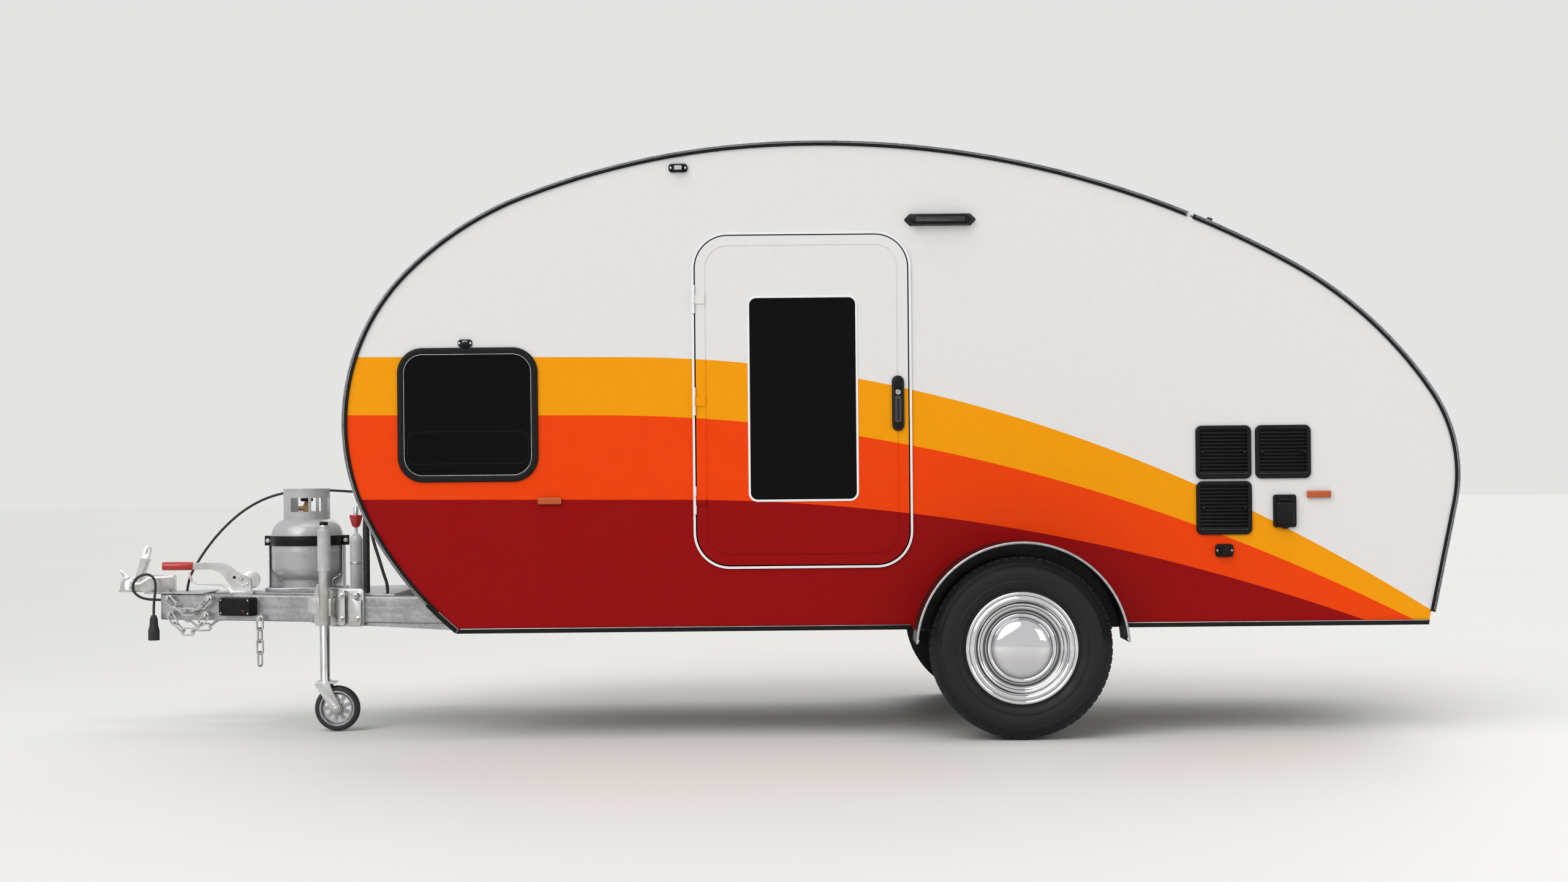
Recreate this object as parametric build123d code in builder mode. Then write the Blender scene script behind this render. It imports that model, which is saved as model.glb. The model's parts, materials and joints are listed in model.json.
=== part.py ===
from build123d import *
import os
from math import atan, cos, degrees, radians, sin, sqrt, tan

os.makedirs("parts", exist_ok=True)

# Driving dimensions in millimetres: X runs to the rear, Y to the right-hand side, Z up from the ground
HALF_WIDTH = 780
WALL = 30
SILL = 384
PANEL_EDGE = 400
RAIL_LOW = 402
RAIL_TOP = 502
FLOOR = 20
TRIM_PROUD = 8
TRIM_OVER = 2
TRIM_REACH = 18
HATCH_SKIN = 8
HATCH_SEAT = 14
HATCH_SIDE = HALF_WIDTH + 5
AXLE_X = 912
AXLE_Z = 325
TRACK_HALF = 905
GUARD_RADIUS = 375
GUARD_REACH = 250
CHASSIS_Y = 600
CHASSIS_FRONT = -1070
CHASSIS_REAR = 2340
DRAWBAR_FRONT = -2330
DRAWBAR_FRONT_Y = 44
DRAWBAR_REAR_Y = 548
BALL_X = -2466.3
BALL_RADIUS = 25.2
JOCKEY_X = -1641
JOCKEY_OUT = 78
BOTTLE_X = -1776
BOTTLE_RADIUS = 137.5
PIN = 3
KNUCKLE = 6
PIN_PLAY = 0.2

# Side outline from the front sill corner over the roof to the tail: radius and sweep of each arc,
# a row without sweep is a straight of that length
SILL_CORNER = ((-1104, SILL), 140.2)
SKIRT = [(1246, 9.0)]
ROOF = [(1246, 15.6), (772, 71.2), (1222, 23.9), (2851, 16.8), (3517, 26.4)]
TAIL = [(3517, 6.5), (1478, 27.1), (534, 45.6), (400, 0)]


def walk(station, rows):
    """The point and heading reached from a station along some rows of the outline."""
    (x, z), heading = station
    for radius, sweep in rows:
        a = radians(heading)
        b = radians(heading - sweep)
        if sweep:
            x += radius * (sin(a) - sin(b))
            z += radius * (cos(b) - cos(a))
        else:
            x += radius * cos(a)
            z += radius * sin(a)
        heading -= sweep
    return (x, z), heading


def inside(station, depth):
    """The point that lies a depth inside the outline at a station."""
    (x, z), heading = station
    return x + depth * sin(radians(heading)), z - depth * cos(radians(heading))


def trace(station, rows, depth):
    """Draws some rows of the outline at a depth inside it."""
    for radius, sweep in rows:
        start = inside(station, depth)
        turn = radians(station[1])
        after = walk(station, [(radius, sweep)])
        if sweep:
            JernArc(start, (cos(turn), sin(turn)), radius - depth, -sweep)
        else:
            Line(start, inside(after, depth))
        station = after


def band(y, station, rows, outer, inner):
    """A face between two depths along some rows, on the upright plane at y, facing the left side."""
    end = walk(station, rows)
    with BuildSketch(Plane.XZ.offset(-y)) as face:
        with BuildLine():
            trace(station, rows, outer)
            trace(station, rows, inner)
            Line(inside(station, outer), inside(station, inner))
            Line(inside(end, outer), inside(end, inner))
        make_face()
    return face.sketch


def save(part, name):
    """Labels a sub-part and writes its file."""
    part.label = name
    export_step(part, f"parts/{name}.step")


def save_sides(part, name):
    """Writes the left-hand sub-part and its mirror image for the right-hand side."""
    save(part, f"{name}_left")
    save(mirror(part, about=Plane.XZ), f"{name}_right")


def left(depth):
    """The plane a depth outside the left wall's outer face, facing out."""
    return Plane.XZ.offset(HALF_WIDTH + depth)


ROOF_START = walk(SILL_CORNER, SKIRT)
HINGE = walk(ROOF_START, ROOF)
HINGE_ARC = ROOF[-1][0]
HINGE_GAP = degrees(11 / HINGE_ARC)
ROOF_TRIM = ROOF[:-1] + [(HINGE_ARC, ROOF[-1][1] - HINGE_GAP)]
HATCH_START = walk(HINGE, [(HINGE_ARC, degrees(8 / HINGE_ARC))])
HATCH = [(HINGE_ARC, TAIL[0][1] - degrees(8 / HINGE_ARC))] + TAIL[1:]
HATCH_TRIM_START = walk(HINGE, [(HINGE_ARC, HINGE_GAP)])
HATCH_TRIM = [(HINGE_ARC, TAIL[0][1] - HINGE_GAP)] + TAIL[1:]
HINGE_AXIS = inside(HINGE, -KNUCKLE - 0.5)
TAIL_TURN = walk(HINGE, TAIL[:-1])
TAIL_END = walk(HINGE, TAIL)

# Openings and fittings of the side walls: width, height, corner radius, X, Z
DOOR = (788, 1208, 130)
DOOR_AT = (148, 1210)
DOOR_LIP = 8
DOOR_GAP = 5
LEAF_PROUD = 10
LEAF_THICK = 35
STRAP = DOOR_LIP + KNUCKLE + 0.5 - LEAF_PROUD
DOOR_GLASS = (381, 724, 25)
DOOR_GLASS_AT = (151, 1215)
WINDOW = (505, 483, 91)
WINDOW_AT = (-1054, 1168)
WINDOW_RIM = 25
DOOR_HINGE_AT = [1575, 1208, 853]
DOOR_HINGE_LONG = 100
DOOR_AXIS = (DOOR_AT[0] - DOOR[0] / 2 + 6, -HALF_WIDTH - DOOR_LIP - KNUCKLE - 0.5)


def rounded(size, shrink):
    """A rounded rectangle's width, height and radius, drawn in by the same amount all round."""
    return size[0] - 2 * shrink, size[1] - 2 * shrink, size[2] - shrink


# Side walls with the door and window openings
tail_foot_run = (inside(TAIL_TURN, HATCH_SEAT)[1] - SILL) / -sin(radians(TAIL_TURN[1]))
tail_foot = inside(walk(TAIL_TURN, [(tail_foot_run, 0)]), HATCH_SEAT)
with BuildPart() as side_wall:
    with BuildSketch(left(-WALL)):
        with BuildLine():
            trace(SILL_CORNER, SKIRT + ROOF, 0)
            Line(inside(HINGE, 0), inside(HINGE, HATCH_SEAT))
            trace(HINGE, TAIL[:-1], HATCH_SEAT)
            Line(inside(TAIL_TURN, HATCH_SEAT), tail_foot)
            Line(tail_foot, SILL_CORNER[0])
        make_face()
        with Locations(DOOR_AT):
            RectangleRounded(*rounded(DOOR, 4), mode=Mode.SUBTRACT)
        with Locations(WINDOW_AT):
            RectangleRounded(*rounded(WINDOW, 12), mode=Mode.SUBTRACT)
    extrude(amount=WALL)
save_sides(side_wall.part, "side_wall")

# Roof and nose panel between the walls
with BuildPart() as roof_skin:
    extrude(band(HALF_WIDTH - WALL, ROOF_START, ROOF, 0, WALL), amount=2 * (HALF_WIDTH - WALL),
            dir=(0, -1, 0))
save(roof_skin.part, "roof_skin")

# Floor on the chassis
floor_front = -1224
with BuildPart() as floor_panel:
    with BuildSketch(Plane.XY.offset(RAIL_TOP)):
        with Locations(((floor_front + CHASSIS_REAR) / 2, 0)):
            Rectangle(CHASSIS_REAR - floor_front, 2 * (HALF_WIDTH - WALL))
    extrude(amount=FLOOR)
save(floor_panel.part, "floor_panel")

# Black trims along the wall edges and the sills
guard_side = GUARD_RADIUS + 5
trim_low = SILL - TRIM_OVER
with BuildPart() as body_trims:
    extrude(band(-HALF_WIDTH, SILL_CORNER, SKIRT + ROOF_TRIM, -TRIM_OVER, TRIM_REACH), amount=TRIM_PROUD,
            dir=(0, -1, 0))
    extrude(band(-HALF_WIDTH + 40, ROOF_START, ROOF_TRIM, -TRIM_OVER, 0), amount=40, dir=(0, -1, 0))
    with BuildSketch(left(0)):
        with BuildLine():
            Polyline((-1103, trim_low), (AXLE_X - guard_side, trim_low), (AXLE_X - guard_side, PANEL_EDGE),
                     (-1088, PANEL_EDGE), close=True)
        make_face()
        with BuildLine():
            Polyline((AXLE_X + guard_side, trim_low), (tail_foot[0], trim_low),
                     (tail_foot[0] + 4, PANEL_EDGE), (AXLE_X + guard_side, PANEL_EDGE), close=True)
        make_face()
    extrude(amount=TRIM_PROUD)
    mirror(about=Plane.XZ)
save(body_trims.part, "body_trims")

# Door frames with the fixed hinge knuckles and pins
third = DOOR_HINGE_LONG / 3
with BuildPart() as door_frames:
    with BuildSketch(left(0)):
        with Locations(DOOR_AT):
            RectangleRounded(*DOOR)
            RectangleRounded(*rounded(DOOR, DOOR_LIP), mode=Mode.SUBTRACT)
    extrude(amount=DOOR_LIP)
    with BuildSketch(left(0)):
        with Locations(DOOR_AT):
            RectangleRounded(*rounded(DOOR, 4))
            RectangleRounded(*rounded(DOOR, DOOR_LIP), mode=Mode.SUBTRACT)
    extrude(amount=-WALL)
    for z in DOOR_HINGE_AT:
        with Locations((*DOOR_AXIS, z - third), (*DOOR_AXIS, z + third)):
            Cylinder(KNUCKLE, third)
            Box(KNUCKLE, 2 * KNUCKLE, third, align=(Align.MAX, Align.MIN, Align.CENTER))
        with Locations((*DOOR_AXIS, z)):
            Cylinder(PIN, third)
    mirror(about=Plane.XZ)
save(door_frames.part, "door_frames")

# Door leaf with its raised window rim and the moving hinge knuckles
leaf_inset = DOOR_LIP + DOOR_GAP
leaf_left = DOOR_AT[0] - DOOR[0] / 2 + leaf_inset
with BuildPart() as door:
    with BuildSketch(left(LEAF_PROUD)):
        with Locations(DOOR_AT):
            RectangleRounded(*rounded(DOOR, leaf_inset))
    extrude(amount=-LEAF_THICK)
    with BuildSketch(left(LEAF_PROUD)):
        with Locations(DOOR_AT):
            RectangleRounded(*rounded(DOOR, leaf_inset + 34))
            RectangleRounded(*rounded(DOOR, leaf_inset + 40), mode=Mode.SUBTRACT)
    extrude(amount=-2, mode=Mode.SUBTRACT)
    with BuildSketch(left(LEAF_PROUD)):
        with Locations(DOOR_GLASS_AT):
            RectangleRounded(*rounded(DOOR_GLASS, -7))
    extrude(amount=2)
    with BuildSketch(left(LEAF_PROUD + 2)):
        with Locations(DOOR_GLASS_AT):
            RectangleRounded(*rounded(DOOR_GLASS, -0.4))
    extrude(amount=-LEAF_THICK - 2, mode=Mode.SUBTRACT)
    for z in DOOR_HINGE_AT:
        with Locations((*DOOR_AXIS, z)):
            Cylinder(KNUCKLE, third - 1)
            Box(40, STRAP, third - 1, align=(Align.MIN, Align.MIN, Align.CENTER))
        with Locations((*DOOR_AXIS, z)):
            Cylinder(PIN + PIN_PLAY, third, mode=Mode.SUBTRACT)
save_sides(door.part, "door")

# Door glass
with BuildPart() as door_glass:
    with BuildSketch(left(7)):
        with Locations(DOOR_GLASS_AT):
            RectangleRounded(*DOOR_GLASS)
    extrude(amount=-8)
save_sides(door_glass.part, "door_glass")

# Door handle: round-ended backing plate, finger cup, lock barrel and grip bar
HANDLE_X = 492
HANDLE_Z = 1195
HANDLE_BACK = 10
with BuildPart() as door_handle:
    with BuildSketch(left(LEAF_PROUD)):
        with Locations((HANDLE_X, HANDLE_Z)):
            SlotOverall(199, 44, rotation=90)
    extrude(amount=HANDLE_BACK)
    with BuildSketch(left(LEAF_PROUD + HANDLE_BACK)):
        with Locations((HANDLE_X, HANDLE_Z + 70)):
            RectangleRounded(30, 34, 12)
        with Locations((HANDLE_X, HANDLE_Z + 40)):
            Circle(9)
    extrude(amount=5)
    with BuildSketch(left(LEAF_PROUD + HANDLE_BACK)):
        with Locations((HANDLE_X, HANDLE_Z - 21)):
            RectangleRounded(24, 96, 8)
    extrude(amount=8)
save_sides(door_handle.part, "door_handle")

# Side window frames and panes
with BuildPart() as window_frames:
    with BuildSketch(left(0)):
        with Locations(WINDOW_AT):
            RectangleRounded(*WINDOW)
            RectangleRounded(*rounded(WINDOW, WINDOW_RIM), mode=Mode.SUBTRACT)
    extrude(amount=10)
    with BuildSketch(left(0)):
        with Locations(WINDOW_AT):
            RectangleRounded(*rounded(WINDOW, 12))
            RectangleRounded(*rounded(WINDOW, WINDOW_RIM), mode=Mode.SUBTRACT)
    extrude(amount=-WALL)
    mirror(about=Plane.XZ)
save(window_frames.part, "window_frames")

with BuildPart() as window_panes:
    with BuildSketch(left(6)):
        with Locations(WINDOW_AT):
            RectangleRounded(*rounded(WINDOW, WINDOW_RIM + 0.5))
    extrude(amount=-8)
    mirror(about=Plane.XZ)
save(window_panes.part, "window_panes")

# Lamps on the walls: width, height, X, Z, how far each stands out
LAMPS = [(51, 28, -1061, 1425, 18), (69, 31, -290, 2047, 24)]
AWNING_LAMP = (256, 44, 649, 1853, 36)
with BuildPart() as wall_lamps:
    for width, height, x, z, proud in LAMPS:
        with BuildSketch(left(0)):
            with Locations((x, z)):
                RectangleRounded(width, height, 10)
        extrude(amount=proud)
    with BuildSketch(left(0)):
        with Locations((AWNING_LAMP[2], AWNING_LAMP[3])):
            Polygon((-128, 0), (-104, 22), (104, 22), (128, 0), (104, -22), (-104, -22))
    extrude(amount=AWNING_LAMP[4], taper=12)
    mirror(about=Plane.XZ)
save(wall_lamps.part, "wall_lamps")

with BuildPart() as side_markers:
    with BuildSketch(left(0)):
        with Locations((-762, 856), (2000, 854)):
            RectangleRounded(86, 25, 8)
    extrude(amount=16, taper=8)
    mirror(about=Plane.XZ)
save(side_markers.part, "side_markers")

# Louvred vents and the power inlets, on the left side only
VENT = (200, 192, 22)
VENTS_AT = [(1659, 1008), (1873, 1008), (1660, 808)]
with BuildPart() as fridge_vents:
    for place in VENTS_AT:
        with BuildSketch(left(0)):
            with Locations(place):
                RectangleRounded(*VENT)
        extrude(amount=11)
        with BuildSketch(left(11)):
            with Locations(place):
                with GridLocations(0, 15, 1, 11):
                    Rectangle(168, 7)
        extrude(amount=-6, mode=Mode.SUBTRACT)
        with BuildSketch(left(5)):
            with Locations(place):
                with GridLocations(150, 0, 2, 1):
                    Circle(8)
        extrude(amount=9)
save(fridge_vents.part, "fridge_vents")

with BuildPart() as service_inlets:
    with BuildSketch(left(0)):
        with Locations((1877, 795)):
            RectangleRounded(83, 118, 10)
        with Locations((1659, 655)):
            RectangleRounded(65, 47, 6)
    extrude(amount=14)
    with BuildSketch(left(14)):
        with Locations((1877, 790)):
            RectangleRounded(67, 88, 8)
        with Locations((1659, 655)):
            Circle(17)
    extrude(amount=16)
save(service_inlets.part, "service_inlets")

# Mudguards: half-round band with a rolled outer edge and a backing plate on the wall
guard_low = AXLE_Z + 21
with BuildPart() as mudguard:
    with BuildSketch(left(0)):
        with Locations((AXLE_X, AXLE_Z)):
            Circle(GUARD_RADIUS)
            Circle(GUARD_RADIUS - 4, mode=Mode.SUBTRACT)
    extrude(amount=GUARD_REACH)
    with Locations((AXLE_X, -HALF_WIDTH - GUARD_REACH + 3, AXLE_Z)):
        Torus(GUARD_RADIUS - 3, 5, rotation=(90, 0, 0))
    with BuildSketch(left(0)):
        with Locations((AXLE_X, AXLE_Z)):
            Circle(GUARD_RADIUS - 2)
        with Locations((AXLE_X, PANEL_EDGE + 2)):
            Rectangle(900, 900, align=(Align.CENTER, Align.MAX), mode=Mode.SUBTRACT)
    extrude(amount=3)
    with Locations((AXLE_X, -HALF_WIDTH - GUARD_REACH / 2, guard_low)):
        Box(900, GUARD_REACH + 40, 900, align=(Align.CENTER, Align.CENTER, Align.MAX), mode=Mode.SUBTRACT)
save_sides(mudguard.part, "mudguard")

# Chassis rails and crossmembers
with BuildPart() as chassis_rails:
    with Locations(((CHASSIS_FRONT + CHASSIS_REAR) / 2, -CHASSIS_Y, (RAIL_LOW + RAIL_TOP) / 2)):
        Box(CHASSIS_REAR - CHASSIS_FRONT, 50, RAIL_TOP - RAIL_LOW)
    mirror(about=Plane.XZ)
save(chassis_rails.part, "chassis_rails")

between = 2 * CHASSIS_Y - 50
with BuildPart() as crossmembers:
    for x in (CHASSIS_FRONT + 25, CHASSIS_REAR - 25):
        with Locations((x, 0, (RAIL_LOW + RAIL_TOP) / 2)):
            Box(50, between, RAIL_TOP - RAIL_LOW)
    for x in (-350, 430, 1400):
        with Locations((x, 0, RAIL_TOP - 25)):
            Box(50, between, 50)
save(crossmembers.part, "crossmembers")

# Drawbar rails: plan outline with ends square to the trailer, tapered doubler below
drawbar_run = CHASSIS_FRONT - DRAWBAR_FRONT
drawbar_slope = (DRAWBAR_REAR_Y - DRAWBAR_FRONT_Y) / drawbar_run
drawbar_turn = atan(drawbar_slope)
half_cut = 25 / cos(drawbar_turn)
along = (cos(drawbar_turn), -sin(drawbar_turn), 0)
outward = (-sin(drawbar_turn), -cos(drawbar_turn), 0)


def rail_point(x, out, z):
    """A point beside the left drawbar rail: at x on its centre line, then out from it."""
    y = -DRAWBAR_FRONT_Y - (x - DRAWBAR_FRONT) * drawbar_slope
    return x + out * outward[0], y + out * outward[1], z


def rail_side(x, out):
    """An upright plane along the left drawbar rail, facing out, its origin at ground height."""
    return Plane(origin=rail_point(x, out, 0), x_dir=along, z_dir=outward)


with BuildPart() as drawbar:
    with BuildSketch(Plane.XY.offset(RAIL_LOW)):
        with BuildLine():
            Polyline((DRAWBAR_FRONT, -DRAWBAR_FRONT_Y + half_cut),
                     (DRAWBAR_FRONT, -DRAWBAR_FRONT_Y - half_cut),
                     (CHASSIS_FRONT, -DRAWBAR_REAR_Y - half_cut),
                     (CHASSIS_FRONT, -DRAWBAR_REAR_Y + half_cut), close=True)
        make_face()
    extrude(amount=RAIL_TOP - RAIL_LOW)
    fillet(drawbar.edges().filter_by(Axis(origin=(0, 0, 0), direction=along)), 8)
    with BuildSketch(rail_side(-1700, -18)):
        with BuildLine():
            Polyline((0, RAIL_LOW), (600, RAIL_LOW), (600, RAIL_LOW - 22), (0, RAIL_LOW - 4), close=True)
        make_face()
    extrude(amount=36)
save_sides(drawbar.part, "drawbar")

# Coupling plate and gas bottle tray on top of the drawbar
with BuildPart() as drawbar_plates:
    with BuildSketch(Plane.XY.offset(RAIL_TOP)):
        with BuildLine():
            Polyline((-2400, -50), (-2400, 50), (-2330, 78), (-2150, 148), (-2150, -148), (-2330, -78),
                     close=True)
        make_face()
        with BuildLine():
            Polyline((-1950, -178), (-1950, 178), (-1380, 406), (-1380, -406), close=True)
        make_face()
    extrude(amount=6)
save(drawbar_plates.part, "drawbar_plates")
plate_top = RAIL_TOP + 6

# Axle with spindles, leaf springs and their hangers
with BuildPart() as axle_beam:
    with Locations((AXLE_X, 0, AXLE_Z)):
        Box(50, 2 * 795, 50)
        Cylinder(20, 2 * (TRACK_HALF + 40), rotation=(90, 0, 0))
save(axle_beam.part, "axle_beam")

spring_base = AXLE_Z + 25
spring_eye = 382
LEAF = 7
with BuildPart() as leaf_springs:
    for half, level in [(320, 2 * LEAF), (230, LEAF), (140, 0)]:
        rise = (spring_eye - spring_base - 17) * (half / 320) ** 2
        low = spring_base + level
        high = low + LEAF
        with BuildSketch(Plane.XZ.offset(CHASSIS_Y - 25)):
            with BuildLine():
                ThreePointArc((AXLE_X - half, low + rise), (AXLE_X, low), (AXLE_X + half, low + rise))
                ThreePointArc((AXLE_X - half, high + rise), (AXLE_X, high), (AXLE_X + half, high + rise))
                Line((AXLE_X - half, low + rise), (AXLE_X - half, high + rise))
                Line((AXLE_X + half, low + rise), (AXLE_X + half, high + rise))
            make_face()
        extrude(amount=50)
    for x in (AXLE_X - 330, AXLE_X + 330):
        with BuildSketch(Plane.XZ.offset(CHASSIS_Y - 25)):
            with Locations((x, spring_eye)):
                Circle(14)
        extrude(amount=50)
        with BuildSketch(Plane.XZ.offset(CHASSIS_Y - 25)):
            with Locations((x, spring_eye)):
                Circle(8.4)
        extrude(amount=50, mode=Mode.SUBTRACT)
    mirror(about=Plane.XZ)
save(leaf_springs.part, "leaf_springs")

with BuildPart() as spring_hangers:
    for x in (AXLE_X - 330, AXLE_X + 330):
        for y in (CHASSIS_Y + 26, CHASSIS_Y - 32):
            with BuildSketch(Plane.XZ.offset(y)):
                with Locations((x, RAIL_LOW + 40)):
                    Rectangle(60, 76, align=(Align.CENTER, Align.MAX))
            extrude(amount=6)
        with Locations((x, -CHASSIS_Y, spring_eye)):
            Cylinder(8, 64, rotation=(90, 0, 0))
    mirror(about=Plane.XZ)
save(spring_hangers.part, "spring_hangers")

# Wheels: profiles as distance out from the wheel's middle and radius
TYRE = [(-66, 180), (-72, 205), (-94, 250), (-84, 300), (-62, 320), (0, 325),
        (62, 320), (84, 300), (94, 250), (72, 205), (66, 180)]
RIM = [(-88, 20.4), (-88, 130), (-40, 130), (-40, 60), (22, 60), (22, 172), (-75, 172), (-75, 180),
       (66, 180), (70, 194), (75, 194), (75, 172), (34, 172), (34, 20.4)]
CAP = [(75, 171), (75, 197), (78, 201), (86, 192), (83, 182), (87, 174), (83, 164), (64, 148), (62, 124),
       (70, 119), (70, 110), (66, 104), (84, 80), (94, 48), (98, 0), (56, 0), (56, 150)]
wheel_plane = Plane(origin=(AXLE_X, -TRACK_HALF, AXLE_Z), x_dir=(0, -1, 0), z_dir=(-1, 0, 0))
wheel_axis = Axis(origin=(AXLE_X, 0, AXLE_Z), direction=(0, 1, 0))


def turned(profile, plane, axis):
    """A solid turned about an axis from a profile of distance along it and radius."""
    with BuildPart() as solid:
        with BuildSketch(plane):
            with BuildLine():
                Polyline(*profile, close=True)
            make_face()
        revolve(axis=axis)
    return solid.part


save_sides(turned(TYRE, wheel_plane, wheel_axis), "tyre")
save_sides(turned(RIM, wheel_plane, wheel_axis), "wheel")
save_sides(turned(CAP, wheel_plane, wheel_axis), "hubcap")

# Coupling head: tapered shank, domed ball cup with its lip, thumb latch and ball socket
CUP = [(0, 0), (44, 0), (44, 7), (40, 10), (38, 22), (32, 40), (22, 53), (13, 58), (0, 58)]
SHANK_HALF = 28
SHANK_BACK = -2292
cup_plane = Plane(origin=(BALL_X, 0, plate_top), x_dir=(1, 0, 0), z_dir=(0, -1, 0))
cup_axis = Axis(origin=(BALL_X, 0, 0), direction=(0, 0, 1))
with BuildPart() as coupling_head:
    with BuildSketch(Plane.XZ.offset(-SHANK_HALF)):
        with BuildLine():
            Polyline((-2450, plate_top), (SHANK_BACK, plate_top), (SHANK_BACK, 572), (-2388, 572),
                     (-2424, 548), (-2450, 548), close=True)
        make_face()
    extrude(amount=2 * SHANK_HALF)
    upper_edges = coupling_head.edges().filter_by(lambda e: e.center().Z > 547)
    fillet(upper_edges.filter_by(lambda e: abs(e.center().Y) > SHANK_HALF - 1), 12)
    add(turned(CUP, cup_plane, cup_axis))
    with BuildSketch(Plane.XZ.offset(-8)):
        with BuildLine():
            Polyline((-2474, 556), (-2486, 556), (-2499, 576), (-2506, 590), (-2499, 593), (-2489, 583),
                     (-2478, 573), (-2468, 566), close=True)
        make_face()
    extrude(amount=16)
    with Locations((BALL_X, 0, plate_top)):
        Cylinder(BALL_RADIUS, 25, align=(Align.CENTER, Align.CENTER, Align.MIN), mode=Mode.SUBTRACT)
    with Locations((BALL_X, 0, plate_top + 25)):
        Sphere(BALL_RADIUS, mode=Mode.SUBTRACT)
save(coupling_head.part, "coupling_head")

# Hand lever of the coupling: wide foot, collar, slotted eye, leaning back from the cup
LEVER_TILT = radians(16.4)
LEVER_FOOT = (-2431, 548)
lever_plane = Plane(origin=(LEVER_FOOT[0], 9, LEVER_FOOT[1]), x_dir=(cos(LEVER_TILT), 0, -sin(LEVER_TILT)),
                    z_dir=(0, -1, 0))
with BuildPart() as coupling_lever:
    with BuildSketch(lever_plane):
        with Locations((0, 40)):
            Rectangle(34, 100)
        with Locations((0, 105)):
            Rectangle(25, 60)
        with Locations((0, 132)):
            Circle(12.5)
        with Locations((3, 125)):
            SlotOverall(24, 11, rotation=90, mode=Mode.SUBTRACT)
    extrude(amount=18)
    with BuildSketch(lever_plane.offset(-3)):
        with Locations((0, 90)):
            Rectangle(38, 9)
    extrude(amount=24)
    add(coupling_head.part, mode=Mode.SUBTRACT)
save(coupling_lever.part, "coupling_lever")

# Handbrake on the left rail: foot, gusseted lever, ratchet disc behind it, guide arm and grip
BRAKE_X = -2030
brake_y = rail_point(BRAKE_X, 0, 0)[1]
BRAKE_FOOT = (88, 44, 13)
with BuildPart() as handbrake:
    with Locations((BRAKE_X + 34, brake_y, RAIL_TOP)):
        Box(*BRAKE_FOOT, align=(Align.CENTER, Align.CENTER, Align.MIN))
    with BuildSketch(Plane.XZ.offset(-brake_y - 7)):
        with BuildLine():
            Polyline((-2184, 624), (-2050, 624), (-2025, 598), (-2003, 584), (-1962, 557), (-1960, 510),
                     (-2021, 510), (-2052, 551), (-2079, 586), (-2110, 598), (-2184, 598), close=True)
        make_face()
    extrude(amount=14)
    with BuildSketch(Plane.XZ.offset(-brake_y - 16)):
        with Locations((-1964, 557)):
            Circle(34)
    extrude(amount=9)
    with BuildSketch(Plane.XZ.offset(-brake_y - 10)):
        with BuildLine():
            Polyline((-2020, 508), (-2038, 508), (-2075, 536), (-2168, 540), (-2192, 552), (-2203, 586),
                     (-2198, 588), (-2187, 557), (-2165, 546), (-2073, 542), (-2020, 514), close=True)
        make_face()
    extrude(amount=20)
    with Locations((-2242, brake_y, 612)):
        Cylinder(16, 116, rotation=(0, 90, 0))
save(handbrake.part, "handbrake")

# Breakaway box on the rail's outer face
with BuildPart() as breakaway_box:
    with BuildSketch(rail_side(-1984, 25)):
        with Locations((0, 458)):
            RectangleRounded(143, 71, 8)
    extrude(amount=48)
save(breakaway_box.part, "breakaway_box")

# Chains of open links, hung from pins on the drawbar: each chain has the length of its links
LINK_PITCH = 45
PIN_TO_LINK = 18.5
CHAIN_OUT = 25 + 20
with BuildPart() as link:
    with BuildSketch():
        Polygon((-30, 7), (-21, 16), (21, 16), (30, 7), (30, -7), (21, -16), (-21, -16), (-30, -7))
        Polygon((-24, 5), (-19, 10), (19, 10), (24, 5), (24, -5), (19, -10), (-19, -10), (-24, -5),
                mode=Mode.SUBTRACT)
    extrude(amount=3, both=True)


def curve(start, end, sag, steps):
    """Points of a hanging curve between two places."""
    points = []
    for step in range(steps + 1):
        t = step / steps
        points.append(start + (end - start) * t - Vector(0, 0, 4 * sag * t * (1 - t)))
    return points


def hung(start, end, links):
    """Places of a chain's links between two pins, each turned a quarter from the last."""
    span = 2 * PIN_TO_LINK + (links - 1) * LINK_PITCH
    low = 0
    high = span
    while high - low > 0.01:
        sag = (low + high) / 2
        points = curve(start, end, sag, 400)
        length = sum((b - a).length for a, b in zip(points, points[1:]))
        if length < span:
            low = sag
        else:
            high = sag
    places = []
    travelled = LINK_PITCH - PIN_TO_LINK
    for here, after in zip(points, points[1:]):
        heading = after - here
        travelled += heading.length
        if travelled >= LINK_PITCH and len(places) < links:
            travelled -= LINK_PITCH
            across = heading.cross(Vector(*outward)).normalized()
            face = across if len(places) % 2 else heading.cross(across).normalized()
            places.append(Plane(origin=here, x_dir=heading, z_dir=face).location)
    return places


# Each chain's pins along the left rail, as X and Z, and its number of links
CHAINS = [((-2278, 486), (-2106, 486), 5), ((-2270, 424), (-2119, 424), 5)]
HANGING_PIN = (-1895, 414)
HANGING_LINKS = 4
chain_places = []
chain_pins = [HANGING_PIN]
for first, last, links in CHAINS:
    chain_places += hung(Vector(*rail_point(first[0], CHAIN_OUT, first[1])),
                         Vector(*rail_point(last[0], CHAIN_OUT, last[1])), links)
    chain_pins += [first, last]
with BuildPart() as drawbar_chains:
    with Locations(*chain_places):
        add(link.part)
    mirror(about=Plane.XZ)
    for number in range(HANGING_LINKS):
        drop = HANGING_PIN[1] - PIN_TO_LINK - number * LINK_PITCH
        face = Vector(*along) if number % 2 else Vector(*outward)
        place = Plane(origin=rail_point(HANGING_PIN[0], CHAIN_OUT, drop), x_dir=(0, 0, -1), z_dir=face)
        with Locations(place.location):
            add(link.part)
save(drawbar_chains.part, "drawbar_chains")

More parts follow.
